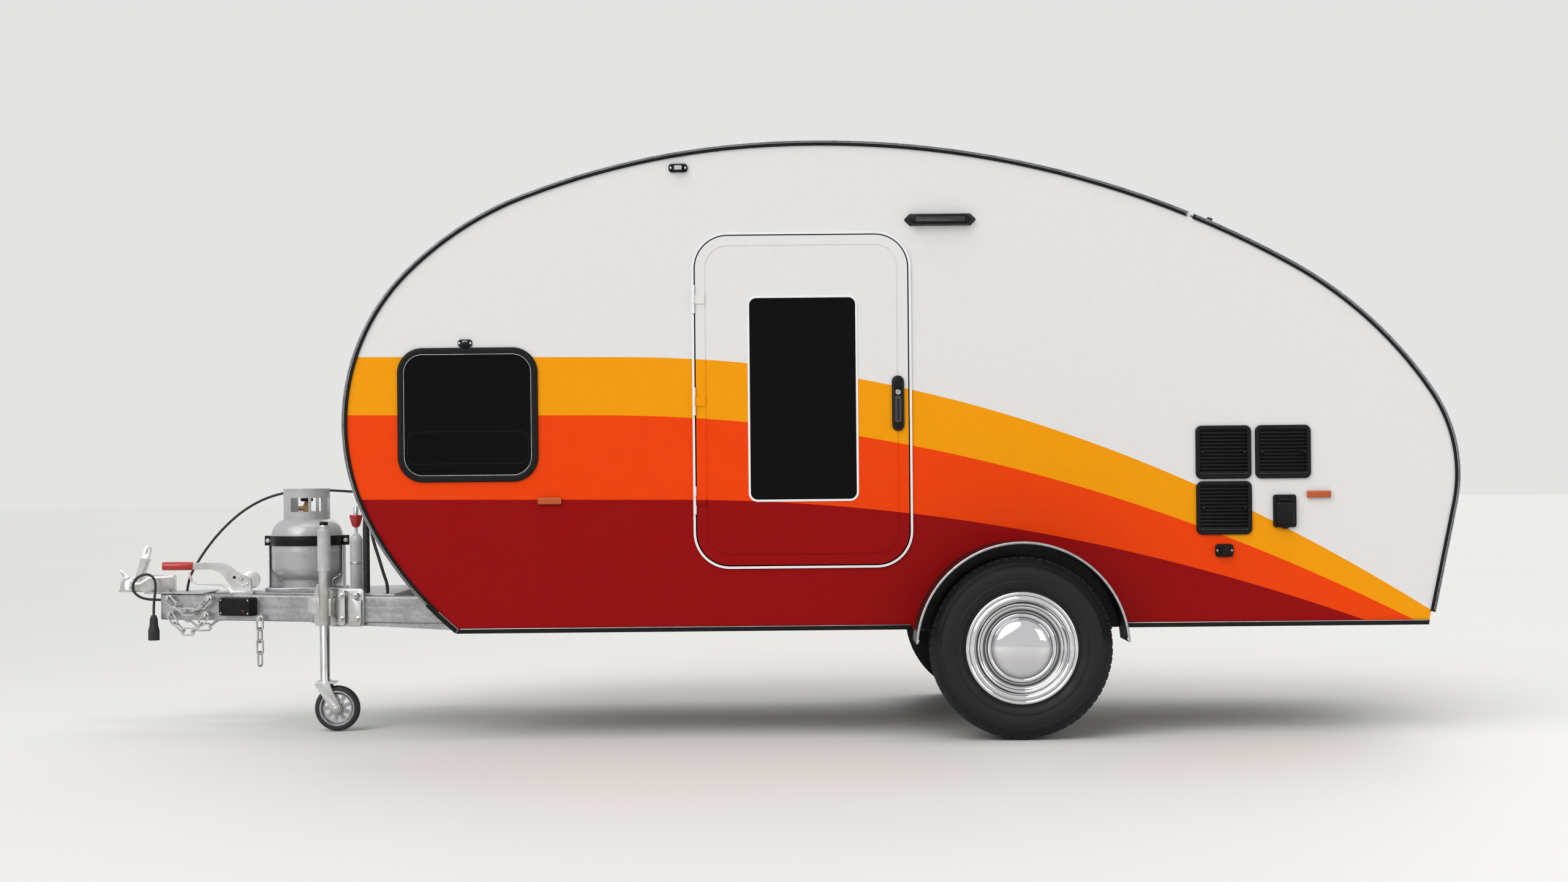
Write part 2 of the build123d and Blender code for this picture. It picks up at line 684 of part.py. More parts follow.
with BuildPart() as chain_studs:
    for x, z in chain_pins:
        with BuildSketch(rail_side(x, 25)):
            with Locations((0, z)):
                Circle(4.5)
        extrude(amount=30)
        with BuildSketch(rail_side(x, 55)):
            with Locations((0, z)):
                Circle(9)
        extrude(amount=4)
    mirror(about=Plane.XZ)
save(chain_studs.part, "chain_studs")

# Jockey wheel: clamp on the rail with its jaw, swing bracket, ear, and a collar open to the front
jockey_at = rail_point(JOCKEY_X + JOCKEY_OUT * sin(drawbar_turn), JOCKEY_OUT, 0)
clamp_x = JOCKEY_X + JOCKEY_OUT * sin(drawbar_turn)
TUBE_RADIUS = 21.5
COLLAR_GRIP = 8
CLAMP_MIDDLE = 459
with BuildPart() as jockey_clamp:
    with BuildSketch(rail_side(clamp_x, 25)):
        with Locations((36, CLAMP_MIDDLE)):
            RectangleRounded(212, 142, 14)
        with Locations((-52, 530)):
            Polygon((-18, -10), (-7, 16), (7, 16), (18, -10))
    extrude(amount=10)
    with BuildSketch(rail_side(clamp_x, 35)):
        with Locations((0, 462)):
            Rectangle(44, 64)
        with Locations((-54, 466)):
            RectangleRounded(52, 60, 14)
    extrude(amount=30)
    with BuildSketch(rail_side(clamp_x, 35)):
        with Locations((60, CLAMP_MIDDLE)):
            RectangleRounded(30, 130, 8)
    extrude(amount=24)
    with BuildSketch(rail_side(clamp_x, 35)):
        with Locations((112, CLAMP_MIDDLE - 8)):
            RectangleRounded(52, 118, 10)
        with Locations((128, 520)):
            Circle(34, mode=Mode.SUBTRACT)
    extrude(amount=14)
    with BuildSketch(rail_side(clamp_x, 35)):
        with Locations((116, 504)):
            Circle(13)
    extrude(amount=20)
    with Locations((jockey_at[0], jockey_at[1], 462)):
        Cylinder(33, 64)
        Cylinder(TUBE_RADIUS + 0.3, 90, mode=Mode.SUBTRACT)
    with BuildSketch(rail_side(clamp_x, JOCKEY_OUT + COLLAR_GRIP)):
        with Locations((0, 462)):
            Rectangle(90, 90)
    extrude(amount=40, mode=Mode.SUBTRACT)
save(jockey_clamp.part, "jockey_clamp")

# Outer tube with its sleeve, neck and cap
TUBE_FOOT = 395
SLEEVE_FOOT = 596
SLEEVE_TOP = 751
with BuildPart() as jockey_tube:
    with Locations((jockey_at[0], jockey_at[1], TUBE_FOOT)):
        Cylinder(TUBE_RADIUS, SLEEVE_TOP - TUBE_FOOT, align=(Align.CENTER, Align.CENTER, Align.MIN))
    with Locations((jockey_at[0], jockey_at[1], SLEEVE_FOOT)):
        Cylinder(25, SLEEVE_TOP - SLEEVE_FOOT, align=(Align.CENTER, Align.CENTER, Align.MIN))
    with Locations((jockey_at[0], jockey_at[1], SLEEVE_TOP)):
        Cylinder(19.5, 17, align=(Align.CENTER, Align.CENTER, Align.MIN))
        Cylinder(16, 31, align=(Align.CENTER, Align.CENTER, Align.MIN))
    with Locations((jockey_at[0], jockey_at[1], TUBE_FOOT)):
        Cylinder(18.3, 170, align=(Align.CENTER, Align.CENTER, Align.MIN), mode=Mode.SUBTRACT)
save(jockey_tube.part, "jockey_tube")

JOCKEY_RADIUS = 85
JOCKEY_TRAIL = 46
FORK_TOP = 186
jockey_plane = Plane(origin=(jockey_at[0], jockey_at[1], 0), x_dir=(1, 0, 0), z_dir=(0, -1, 0))
jockey_axle = (jockey_at[0] + JOCKEY_TRAIL, jockey_at[1], JOCKEY_RADIUS)
with BuildPart() as jockey_fork:
    with Locations((jockey_at[0], jockey_at[1], FORK_TOP)):
        Cylinder(18, 350, align=(Align.CENTER, Align.CENTER, Align.MIN))
    with Locations((jockey_at[0] + 6, jockey_at[1], FORK_TOP)):
        Box(72, 68, 8, align=(Align.CENTER, Align.CENTER, Align.MAX))
    for side in (29, -34):
        with BuildSketch(jockey_plane.offset(side)):
            with BuildLine():
                Polyline((-35, FORK_TOP - 10), (16, FORK_TOP + 4), (JOCKEY_TRAIL + 14, JOCKEY_RADIUS + 8),
                         (JOCKEY_TRAIL + 12, JOCKEY_RADIUS - 9), (JOCKEY_TRAIL, JOCKEY_RADIUS - 15),
                         (JOCKEY_TRAIL - 12, JOCKEY_RADIUS - 9), (JOCKEY_TRAIL - 24, JOCKEY_RADIUS + 4),
                         close=True)
            make_face()
        extrude(amount=5)
    with Locations(jockey_axle):
        Cylinder(8, 80, rotation=(90, 0, 0))
save(jockey_fork.part, "jockey_fork")

JOCKEY_RIM = [(-26, 8.3), (-26, 20), (-8, 22), (-6, 54), (-20, 60), (-20, 65.5),
              (20, 65.5), (20, 60), (6, 54), (8, 22), (26, 20), (26, 8.3)]
JOCKEY_WINDOWS = 9
JOCKEY_TYRE = [(-20, 65.5), (-22.5, 72), (-16, 83), (0, 85), (16, 83), (22.5, 72), (20, 65.5)]
jockey_wheel_plane = Plane(origin=jockey_axle, x_dir=(0, -1, 0), z_dir=(-1, 0, 0))
jockey_axis = Axis(origin=jockey_axle, direction=(0, 1, 0))
with BuildPart() as jockey_rim:
    add(turned(JOCKEY_RIM, jockey_wheel_plane, jockey_axis))
    with BuildSketch(Plane(origin=jockey_axle, x_dir=(1, 0, 0), z_dir=(0, -1, 0))):
        with PolarLocations(0, JOCKEY_WINDOWS):
            Polygon((29, -4), (50, -10), (50, 10), (29, 4), align=None)
    extrude(amount=30, both=True, mode=Mode.SUBTRACT)
save(jockey_rim.part, "jockey_rim")
save(turned(JOCKEY_TYRE, jockey_wheel_plane, jockey_axis), "jockey_tyre")

# Gas bottle: foot ring, domed body, collar pierced on both sides, and the valve with its hand wheel
BOTTLE = [(0, 0), (98, 0), (98, 28), (124, 46), (137, 72), (BOTTLE_RADIUS, 200), (130, 232), (104, 258),
          (40, 276), (0, 280)]
VALVE = [(0, 270), (22, 270), (22, 284), (14, 288), (14, 330), (25, 332), (25, 344), (7, 347), (0, 350)]
HOLDER_BASE = 14
COLLAR_FOOT = 254
COLLAR_HIGH = 126
COLLAR_WINDOW = 54
WINDOW_RISE = 318
holder_top = plate_top + HOLDER_BASE
bottle_plane = Plane(origin=(BOTTLE_X, 0, holder_top), x_dir=(1, 0, 0), z_dir=(0, -1, 0))
bottle_axis = Axis(origin=(BOTTLE_X, 0, 0), direction=(0, 0, 1))
with BuildPart() as gas_bottle:
    with BuildSketch(Plane.XY.offset(holder_top + COLLAR_FOOT)):
        with Locations((BOTTLE_X, 0)):
            Circle(91)
            Circle(87, mode=Mode.SUBTRACT)
    extrude(amount=COLLAR_HIGH)
    for shift, width in [(-14, 70), (50, 34)]:
        with Locations((BOTTLE_X + shift, 0, holder_top + WINDOW_RISE)):
            Box(width, 2 * BOTTLE_RADIUS, COLLAR_WINDOW, mode=Mode.SUBTRACT)
    with Locations((BOTTLE_X, 0, holder_top + WINDOW_RISE)):
        Box(2 * BOTTLE_RADIUS, 60, COLLAR_WINDOW, mode=Mode.SUBTRACT)
    add(turned(BOTTLE, bottle_plane, bottle_axis))
    add(turned(VALVE, bottle_plane, bottle_axis))
save(gas_bottle.part, "gas_bottle")

# Bottle holder: raised base, two upright flanges, and gussets that follow the bottle's side
STRAP_LOW = 683
STRAP_HIGH = 38
UPRIGHT = 143
GUSSET = [(99.6, 0), (99.6, 26.6), (125.6, 44.4), (139.2, 71.4), (139.2, STRAP_LOW - holder_top),
          (UPRIGHT, STRAP_LOW - holder_top), (UPRIGHT, 0)]
with BuildPart() as bottle_holder:
    with BuildSketch(Plane.XY.offset(plate_top)):
        with Locations((BOTTLE_X, 0)):
            Rectangle(290, 200)
    extrude(amount=HOLDER_BASE)
    for side in (-1, 1):
        with Locations((BOTTLE_X + side * UPRIGHT, 0, holder_top)):
            Box(4, 60, STRAP_LOW - holder_top, align=(Align.CENTER, Align.CENTER, Align.MIN))
        with BuildSketch(bottle_plane.offset(-2)):
            with BuildLine():
                Polyline(*[(side * out, rise) for out, rise in GUSSET], close=True)
            make_face()
        extrude(amount=4)
save(bottle_holder.part, "bottle_holder")

# Strap round the bottle with an ear over each upright
with BuildPart() as bottle_strap:
    with BuildSketch(Plane.XY.offset(STRAP_LOW)):
        with Locations((BOTTLE_X, 0)):
            Circle(BOTTLE_RADIUS + 3.5)
        with Locations((BOTTLE_X - 150, 0), (BOTTLE_X + 150, 0)):
            Rectangle(26, 24)
        with Locations((BOTTLE_X, 0)):
            Circle(BOTTLE_RADIUS + 0.5, mode=Mode.SUBTRACT)
    extrude(amount=STRAP_HIGH)
save(bottle_strap.part, "bottle_strap")

# Fire extinguisher on the tray: slim body, neck, flared head and valve
EXTINGUISHER = [(0, 0), (22, 0), (24, 4), (24, 198), (18, 212), (8, 222), (6, 226), (6, 246), (14, 250),
                (25, 286), (25, 293), (9, 293), (9, 322), (5, 327), (0, 327)]
extinguisher_at = (-1561, -150)
extinguisher_plane = Plane(origin=(*extinguisher_at, plate_top), x_dir=(1, 0, 0), z_dir=(0, -1, 0))
extinguisher_axis = Axis(origin=(*extinguisher_at, 0), direction=(0, 0, 1))
save(turned(EXTINGUISHER, extinguisher_plane, extinguisher_axis), "fire_extinguisher")

# Rear hatch: skin over the wall edges, inner ribs and the moving hinge strip
strip_turn = degrees(30 / HINGE_ARC)
half_hinge = 735
MOVING_KNUCKLES = [(-445, -145), (145, 445)]
FIXED_KNUCKLES = [(-735, -445), (-145, 145), (445, 735)]
with BuildPart() as rear_hatch:
    extrude(band(HATCH_SIDE, HATCH_START, HATCH, 0, HATCH_SKIN), amount=2 * HATCH_SIDE, dir=(0, -1, 0))
    for y in (730, -700):
        extrude(band(y, HATCH_START, HATCH, HATCH_SKIN, 50), amount=30, dir=(0, -1, 0))
    for low, high in MOVING_KNUCKLES:
        with Locations((HINGE_AXIS[0], (low + high) / 2, HINGE_AXIS[1])):
            Cylinder(KNUCKLE, high - low - 1, rotation=(90, 0, 0))
        extrude(band(high - 0.5, HINGE, [(HINGE_ARC, strip_turn)], -TRIM_OVER, 0), amount=high - low - 1,
                dir=(0, -1, 0))
        with Locations((HINGE_AXIS[0], (low + high) / 2, HINGE_AXIS[1])):
            Cylinder(PIN + PIN_PLAY, high - low, rotation=(90, 0, 0), mode=Mode.SUBTRACT)
save(rear_hatch.part, "rear_hatch")

with BuildPart() as hatch_trims:
    extrude(band(-HATCH_SIDE, HATCH_TRIM_START, HATCH_TRIM, -TRIM_OVER, TRIM_REACH), amount=3,
            dir=(0, -1, 0))
    extrude(band(-HATCH_SIDE + 45, HATCH_TRIM_START, HATCH_TRIM, -TRIM_OVER, 0), amount=45,
            dir=(0, -1, 0))
    mirror(about=Plane.XZ)
save(hatch_trims.part, "hatch_trims")

fixed_strip = walk(HINGE, [(HINGE_ARC, -strip_turn)])
with BuildPart() as hatch_hinge:
    for low, high in FIXED_KNUCKLES:
        with Locations((HINGE_AXIS[0], (low + high) / 2, HINGE_AXIS[1])):
            Cylinder(KNUCKLE, high - low, rotation=(90, 0, 0))
        extrude(band(high, fixed_strip, [(HINGE_ARC, strip_turn)], -TRIM_OVER, 0), amount=high - low,
                dir=(0, -1, 0))
    with Locations((HINGE_AXIS[0], 0, HINGE_AXIS[1])):
        Cylinder(PIN, 2 * half_hinge, rotation=(90, 0, 0))
save(hatch_hinge.part, "hatch_hinge")

# Tail lamps and lift handle on the hatch's straight tail
tail_middle = walk(TAIL_TURN, [(200, 0)])[0]
tail_out = (-sin(radians(TAIL_TURN[1])), 0, cos(radians(TAIL_TURN[1])))
tail_plane = Plane(origin=(tail_middle[0], 0, tail_middle[1]), x_dir=(0, 1, 0), z_dir=tail_out)
with BuildPart() as tail_lamps:
    with BuildSketch(tail_plane):
        with Locations((-660, 0), (660, 0)):
            RectangleRounded(90, 260, 20)
    extrude(amount=24, taper=6)
save(tail_lamps.part, "tail_lamps")

with BuildPart() as hatch_handle:
    with BuildSketch(tail_plane):
        with GridLocations(150, 0, 2, 1):
            RectangleRounded(26, 36, 8)
    extrude(amount=30)
    with BuildSketch(tail_plane.offset(24)):
        RectangleRounded(176, 24, 10)
    extrude(amount=14)
save(hatch_handle.part, "hatch_handle")


def nose_x(z, depth):
    """X of the nose panel's face at a height, a depth inside the outline."""
    station = ROOF_START
    for row in ROOF[:2]:
        after = walk(station, [row])
        if z <= after[0][1]:
            break
        station = after
    centre = inside(station, row[0])
    return centre[0] - sqrt((row[0] - depth) ** 2 - (z - centre[1]) ** 2)


def hose(points, radius):
    """A round hose along a route, each bend as large as its runs allow; prints its bend radii."""
    route = [Vector(*point) for point in points]
    bends = []
    for before, corner, after in zip(route, route[1:], route[2:]):
        turn = radians((corner - before).get_angle(after - corner))
        bends.append(0.45 * min((corner - before).length, (after - corner).length) / tan(turn / 2))
    print("bend radii", [round(bend) for bend in bends])
    with BuildPart() as tube:
        with BuildLine() as line:
            FilletPolyline(*points, radius=bends)
        with BuildSketch(Plane(origin=points[0], z_dir=route[1] - route[0])):
            Circle(radius)
        sweep(path=line.line)
    return tube.part


# Conduit from the nose panel straight down to the tray, and a thinner lead behind it
CONDUIT_Y = -250
CONDUIT = [(-1507, CONDUIT_Y, plate_top), (-1507, CONDUIT_Y, 770), (-1501, CONDUIT_Y, 822),
           (-1481, CONDUIT_Y, 856), (nose_x(874, 15), CONDUIT_Y, 874)]
with BuildPart() as front_conduit:
    add(hose(CONDUIT, 13))
    add(roof_skin.part, mode=Mode.SUBTRACT)
save(front_conduit.part, "front_conduit")

NOSE_LEAD_Y = -300
NOSE_LEAD = [(nose_x(800, 15), NOSE_LEAD_Y, 800), (-1464, NOSE_LEAD_Y, 786), (-1481, NOSE_LEAD_Y, 750),
             (-1470, NOSE_LEAD_Y, 696), (-1450, NOSE_LEAD_Y, 634), (-1434, NOSE_LEAD_Y, 577),
             (-1420, NOSE_LEAD_Y, 540), (-1420, NOSE_LEAD_Y, plate_top)]
with BuildPart() as nose_lead:
    add(hose(NOSE_LEAD, 6))
    add(roof_skin.part, mode=Mode.SUBTRACT)
save(nose_lead.part, "nose_lead")

# Arched cable from the nose panel to the coupling plate, past the right-hand side of the bottle
ARCHED_CABLE = [(nose_x(875, 15), 118, 875), (-1530, 119, 881), (-1640, 120, 890), (-1760, 121, 897),
                (-1868, 120, 891), (-1966, 114, 864), (-2052, 106, 814), (-2126, 96, 746),
                (-2186, 85, 672), (-2232, 74, 598), (-2254, 66, 548), (-2259, 63, RAIL_TOP + 2)]
with BuildPart() as arched_cable:
    add(hose(ARCHED_CABLE, 5))
    add(roof_skin.part, mode=Mode.SUBTRACT)
    add(drawbar_plates.part, mode=Mode.SUBTRACT)
save(arched_cable.part, "arched_cable")

# Lead out of the left rail's front end, looped beside the coupling, with its plug hanging down
PLUG_X = -2354.5
PLUG_Y = -88
PLUG_FOOT = 324
PLUG_HIGH = 97
PLUG_LEAD = [(DRAWBAR_FRONT, -50, 478), (-2370, -50, 478), (-2410, -62, 486), (-2438, -75, 512),
             (-2434, -81, 550), (-2406, -85, 575), (-2372, -87, 580), (-2348, PLUG_Y, 560),
             (-2346, PLUG_Y, 518), (PLUG_X, PLUG_Y, 468), (PLUG_X, PLUG_Y, PLUG_FOOT + PLUG_HIGH)]
save(hose(PLUG_LEAD, 5), "plug_lead")

PLUG = [(0, 0), (20, 0), (22, 4), (22, 40), (17, 60), (15, 86), (9, PLUG_HIGH), (0, PLUG_HIGH)]
plug_plane = Plane(origin=(PLUG_X, PLUG_Y, PLUG_FOOT), x_dir=(1, 0, 0), z_dir=(0, -1, 0))
plug_axis = Axis(origin=(PLUG_X, PLUG_Y, 0), direction=(0, 0, 1))
save(turned(PLUG, plug_plane, plug_axis), "lead_plug")
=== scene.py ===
"""Looks of a teardrop camper trailer: striped paint, tyres, chrome, louvres, lamps, drawbar gear, cords."""
import json
from math import cos, pi, radians, sin, tau

import bmesh
import bpy
from mathutils import Matrix, Vector


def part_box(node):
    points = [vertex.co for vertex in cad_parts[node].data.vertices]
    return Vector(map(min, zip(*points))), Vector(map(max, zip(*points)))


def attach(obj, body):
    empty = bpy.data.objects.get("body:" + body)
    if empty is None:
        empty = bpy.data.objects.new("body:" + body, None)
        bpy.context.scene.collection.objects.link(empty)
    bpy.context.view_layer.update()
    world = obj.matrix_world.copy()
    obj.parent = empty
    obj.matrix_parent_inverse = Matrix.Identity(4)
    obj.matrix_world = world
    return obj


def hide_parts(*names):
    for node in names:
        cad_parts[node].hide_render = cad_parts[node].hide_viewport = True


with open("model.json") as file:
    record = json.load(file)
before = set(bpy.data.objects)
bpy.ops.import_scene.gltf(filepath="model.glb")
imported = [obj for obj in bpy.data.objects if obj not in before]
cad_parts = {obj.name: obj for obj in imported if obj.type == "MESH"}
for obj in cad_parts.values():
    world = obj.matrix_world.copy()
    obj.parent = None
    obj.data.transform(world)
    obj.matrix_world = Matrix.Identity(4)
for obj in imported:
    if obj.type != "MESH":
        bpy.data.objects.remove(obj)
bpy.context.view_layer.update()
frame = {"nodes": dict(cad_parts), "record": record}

# Places taken from the frame, in metres: X runs to the rear, the left-hand side is at negative Y, Z is up
BODY_OF = {node: body for body, group in frame["record"]["behaviour"]["bodies"].items() for node in group}


def middle(node):
    """The middle of a node's box."""
    low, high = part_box(node)
    return (low + high) / 2


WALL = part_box("side_wall_left")[0].y
LEAF = 0.010
WHEEL = middle("tyre_left")
JOCKEY_WHEEL = middle("jockey_tyre")
JOCKEY_TUBE = middle("jockey_tube")
BOTTLE_FOOT = Vector((middle("gas_bottle").x, middle("gas_bottle").y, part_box("gas_bottle")[0].z))
EXTINGUISHER_FOOT = middle("fire_extinguisher").xy.to_3d() + Vector((0, 0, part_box("fire_extinguisher")[0].z))
PLUG_FOOT = middle("lead_plug").xy.to_3d() + Vector((0, 0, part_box("lead_plug")[0].z))
RAIL_TURN = -radians(21.8)


# Shader expressions and materials
def linear(red, green, blue):
    """A screen colour of 0 to 255 as the shader takes it."""
    shares = [((c / 255 + 0.055) / 1.055) ** 2.4 if c > 10 else c / 3294.6 for c in (red, green, blue)]
    return (*shares, 1.0)


class Value:
    """A shader socket in an expression: each operator adds a Math node."""

    def __init__(self, finish, socket):
        self.finish = finish
        self.socket = socket

    def __add__(self, other):
        return self.finish.maths("ADD", self, other)

    def __sub__(self, other):
        return self.finish.maths("SUBTRACT", self, other)

    def __mul__(self, other):
        return self.finish.maths("MULTIPLY", self, other)

    def __gt__(self, other):
        return self.finish.maths("GREATER_THAN", self, other)

    def __lt__(self, other):
        return self.finish.maths("LESS_THAN", self, other)

    def __abs__(self):
        return self.finish.maths("ABSOLUTE", self, 0)


class Finish:
    """One procedural material on Object coordinates."""

    def __init__(self, name, colour, roughness, metallic=0.0, coat=0.0):
        self.material = bpy.data.materials.new(name)
        self.material.use_nodes = True
        self.tree = self.material.node_tree
        self.shader = self.tree.nodes["Principled BSDF"]
        self.feed("Base Color", colour)
        self.feed("Roughness", roughness)
        self.feed("Metallic", metallic)
        self.feed("Coat Weight", coat)
        self.place = self.node("ShaderNodeTexCoord", output="Object")

    def node(self, kind, settings=None, sockets=None, output=0):
        """Adds a node, sets it up, and feeds its sockets with numbers, colours or links."""
        made = self.tree.nodes.new(kind)
        for name, value in (settings or {}).items():
            setattr(made, name, value)
        for name, value in (sockets or {}).items():
            self.join(made.inputs[name], value)
        return Value(self, made.outputs[output])

    def join(self, socket, value):
        if isinstance(value, Value):
            self.tree.links.new(value.socket, socket)
        else:
            socket.default_value = value

    def feed(self, name, value):
        """Sets one of the surface shader's sockets."""
        self.join(self.shader.inputs[name], value)

    def maths(self, operation, first, second):
        return self.node("ShaderNodeMath", {"operation": operation}, {0: first, 1: second})

    def mix(self, share, first, second):
        """A colour between two, by a share."""
        return self.node("ShaderNodeMix", {"data_type": "RGBA"}, {0: share, 6: first, 7: second}, 2)

    def axis(self, letter):
        return self.node("ShaderNodeSeparateXYZ", None, {"Vector": self.place}, letter)

    def stretched(self, scale, origin=(0, 0, 0)):
        """Object coordinates scaled by axis, about an origin."""
        moved = self.node("ShaderNodeVectorMath", {"operation": "SUBTRACT"}, {0: self.place, 1: origin})
        return self.node("ShaderNodeVectorMath", {"operation": "MULTIPLY"}, {0: moved, 1: scale})

    def noise(self, scale, detail=3.0, place=None):
        sockets = {"Vector": place or self.place, "Scale": scale, "Detail": detail}
        return self.node("ShaderNodeTexNoise", None, sockets)

    def cells(self, scale):
        return self.node("ShaderNodeTexVoronoi", None, {"Vector": self.place, "Scale": scale}, "Color")

    def ramp(self, value, low, high, start=0.0, end=1.0):
        """A smooth step from one value to another as the input goes from low to high."""
        limits = {"Value": value, "From Min": low, "From Max": high, "To Min": start, "To Max": end}
        return self.node("ShaderNodeMapRange", {"interpolation_type": "SMOOTHSTEP"}, limits)

    def radius(self, centre):
        """Distance from an axle along Y."""
        flat = self.node("ShaderNodeVectorMath", {"operation": "SUBTRACT"}, {0: self.place, 1: centre})
        flat = self.node("ShaderNodeVectorMath", {"operation": "MULTIPLY"}, {0: flat, 1: (1, 0, 1)})
        return self.node("ShaderNodeVectorMath", {"operation": "LENGTH"}, {0: flat}, "Value")

    def bump(self, height, depth, strength=1.0):
        """Relief of a depth in metres."""
        sockets = {"Height": height, "Distance": depth, "Strength": strength}
        self.feed("Normal", self.node("ShaderNodeBump", None, sockets))


# Stripe edges on the walls, top to bottom: height at the middle, where the bend starts, how fast it drops
STRIPE_TILT = -0.0096
STRIPE_MIDDLE = 0.6426
STRIPES = [(1.3592, -0.497, 0.1082, linear(239, 154, 4)), (1.1502, -0.583, 0.0860, linear(235, 66, 3)),
           (0.8466, -0.291, 0.0717, linear(146, 4, 6))]
WHITE = linear(223, 222, 221)
LINING = linear(205, 203, 198)


def striped_paint():
    """White gloss paint with three swooping stripes on the outer face, and a plain lining inside."""
    finish = Finish("striped_paint", WHITE, 0.36)
    finish.feed("Specular IOR Level", 0.10)
    x = finish.axis("X")
    z = finish.axis("Z")
    colour = finish.mix(finish.noise(40.0, 4.0), WHITE, linear(217, 216, 215))
    for height, start, drop, paint in STRIPES:
        run = finish.maths("MAXIMUM", x - start, 0)
        edge = (x - STRIPE_MIDDLE) * STRIPE_TILT - run * run * drop + height
        deeper = (*(0.92 * c for c in paint[:3]), 1.0)
        shade = finish.mix(finish.noise(30.0, 4.0), paint, deeper)
        colour = finish.mix(z < edge, colour, shade)
    outside = abs(finish.axis("Y")) > abs(WALL) - 0.0006
    finish.feed("Base Color", finish.mix(outside, LINING, colour))
    finish.feed("Roughness", finish.ramp(finish.noise(5.0, 4.0), 0.3, 0.7, 0.3, 0.42))
    finish.bump(finish.noise(420.0, 1.0), 0.00012, 0.35)
    return finish.material


def white_paint():
    """White gloss paint of roof and hatch, with a faint orange peel."""
    finish = Finish("white_paint", WHITE, 0.28, coat=0.35)
    finish.feed("Base Color", finish.mix(finish.noise(45.0, 5.0), WHITE, linear(217, 216, 215)))
    finish.feed("Roughness", finish.ramp(finish.noise(30.0, 3.0), 0.3, 0.7, 0.288, 0.294))
    finish.bump(finish.noise(26.0, 1.0), 0.0002, 0.04)
    return finish.material


def frame_white():
    """Powder-coated white of door frames and hinges."""
    finish = Finish("frame_white", linear(234, 234, 234), 0.34, coat=0.2)
    finish.feed("Base Color", finish.mix(finish.noise(14.0), linear(238, 238, 238), linear(222, 222, 224)))
    finish.feed("Roughness", finish.ramp(finish.noise(30.0), 0.3, 0.7, 0.28, 0.42))
    finish.bump(finish.noise(900.0, 1.0), 0.00015, 0.5)
    return finish.material


def moulded_black(name, base=10, rough=0.38):
    """Black moulded plastic with a fine grain."""
    clean = linear(base, base, base + 1)
    dusty = linear(base + 7, base + 7, base + 8)
    finish = Finish(name, clean, rough)
    finish.feed("Specular IOR Level", 0.2)
    dust_and_painted_reflection = finish.ramp(finish.noise(9.0, 5.0), 0.45, 0.8)
    finish.feed("Base Color", finish.mix(dust_and_painted_reflection, clean, dusty))
    finish.feed("Roughness", finish.ramp(finish.noise(26.0, 4.0), 0.3, 0.7, rough - 0.08, rough + 0.1))
    finish.bump(finish.noise(1400.0, 2.0), 0.00018, 0.6)
    return finish.material


def guard_black():
    """Gloss black sheet of the mudguards, dusty low down."""
    finish = Finish("guard_black", linear(16, 16, 17), 0.3)
    finish.feed("Specular IOR Level", 0.3)
    low = finish.ramp(finish.axis("Z"), 0.34, 0.56, 1.0, 0.0)
    dust_and_painted_reflection = low * finish.ramp(finish.noise(24.0, 5.0), 0.35, 0.75)
    finish.feed("Base Color", finish.mix(dust_and_painted_reflection, linear(13, 13, 14), linear(34, 33, 32)))
    finish.feed("Roughness", dust_and_painted_reflection * 0.3 + finish.ramp(finish.noise(7.0), 0.3, 0.7, 0.26, 0.38))
    finish.bump(finish.noise(300.0, 1.0), 0.0002, 0.4)
    return finish.material


def galvanised(name="galvanised", low=140, high=182):
    """Satin hot-dip zinc: soft clouds, faint crystals, and runs along the steel."""
    finish = Finish(name, linear(high, high, high), 0.4, metallic=0.85)
    crystal = finish.node("ShaderNodeSeparateColor", None, {"Color": finish.cells(120.0)}, "Red")
    cloud = finish.noise(11.0, 5.0)
    run = finish.noise(1.0, 5.0, finish.stretched((5.0, 5.0, 80.0)))
    shade = crystal * 0.14 + cloud * 0.5 + run * 0.45
    finish.feed("Base Color", finish.mix(finish.ramp(shade, 0.3, 0.8), linear(low, low + 1, low + 3),
                                         linear(high, high + 1, high + 3)))
    finish.feed("Roughness", finish.ramp(cloud + crystal * 0.2, 0.35, 0.9, 0.3, 0.46))
    finish.bump(finish.noise(240.0, 3.0), 0.0002, 0.3)
    return finish.material


def zinc():
    """Bright zinc plate with fine scratches and a trace of yellow passivation."""
    finish = Finish("zinc", linear(200, 200, 198), 0.28, metallic=1.0)
    tone = finish.ramp(finish.noise(18.0, 4.0), 0.35, 0.7)
    finish.feed("Base Color", finish.mix(tone, linear(204, 204, 205), linear(182, 180, 175)))
    scratch = finish.noise(1.0, 6.0, finish.stretched((900.0, 120.0, 900.0)))
    finish.feed("Roughness", finish.ramp(scratch + tone * 0.3, 0.35, 0.95, 0.2, 0.42))
    finish.bump(scratch, 0.0002, 0.25)
    return finish.material


# Painted dark reflections on the wheel trim, at its grooves and its flat band: radius, and how far the
# darkening reaches to either side
CAP_DARK_RINGS = [(0.1850, 0.0024), (0.1668, 0.0022), (0.1480, 0.0030), (0.1330, 0.0110), (0.1235, 0.0026),
               (0.1064, 0.0034)]


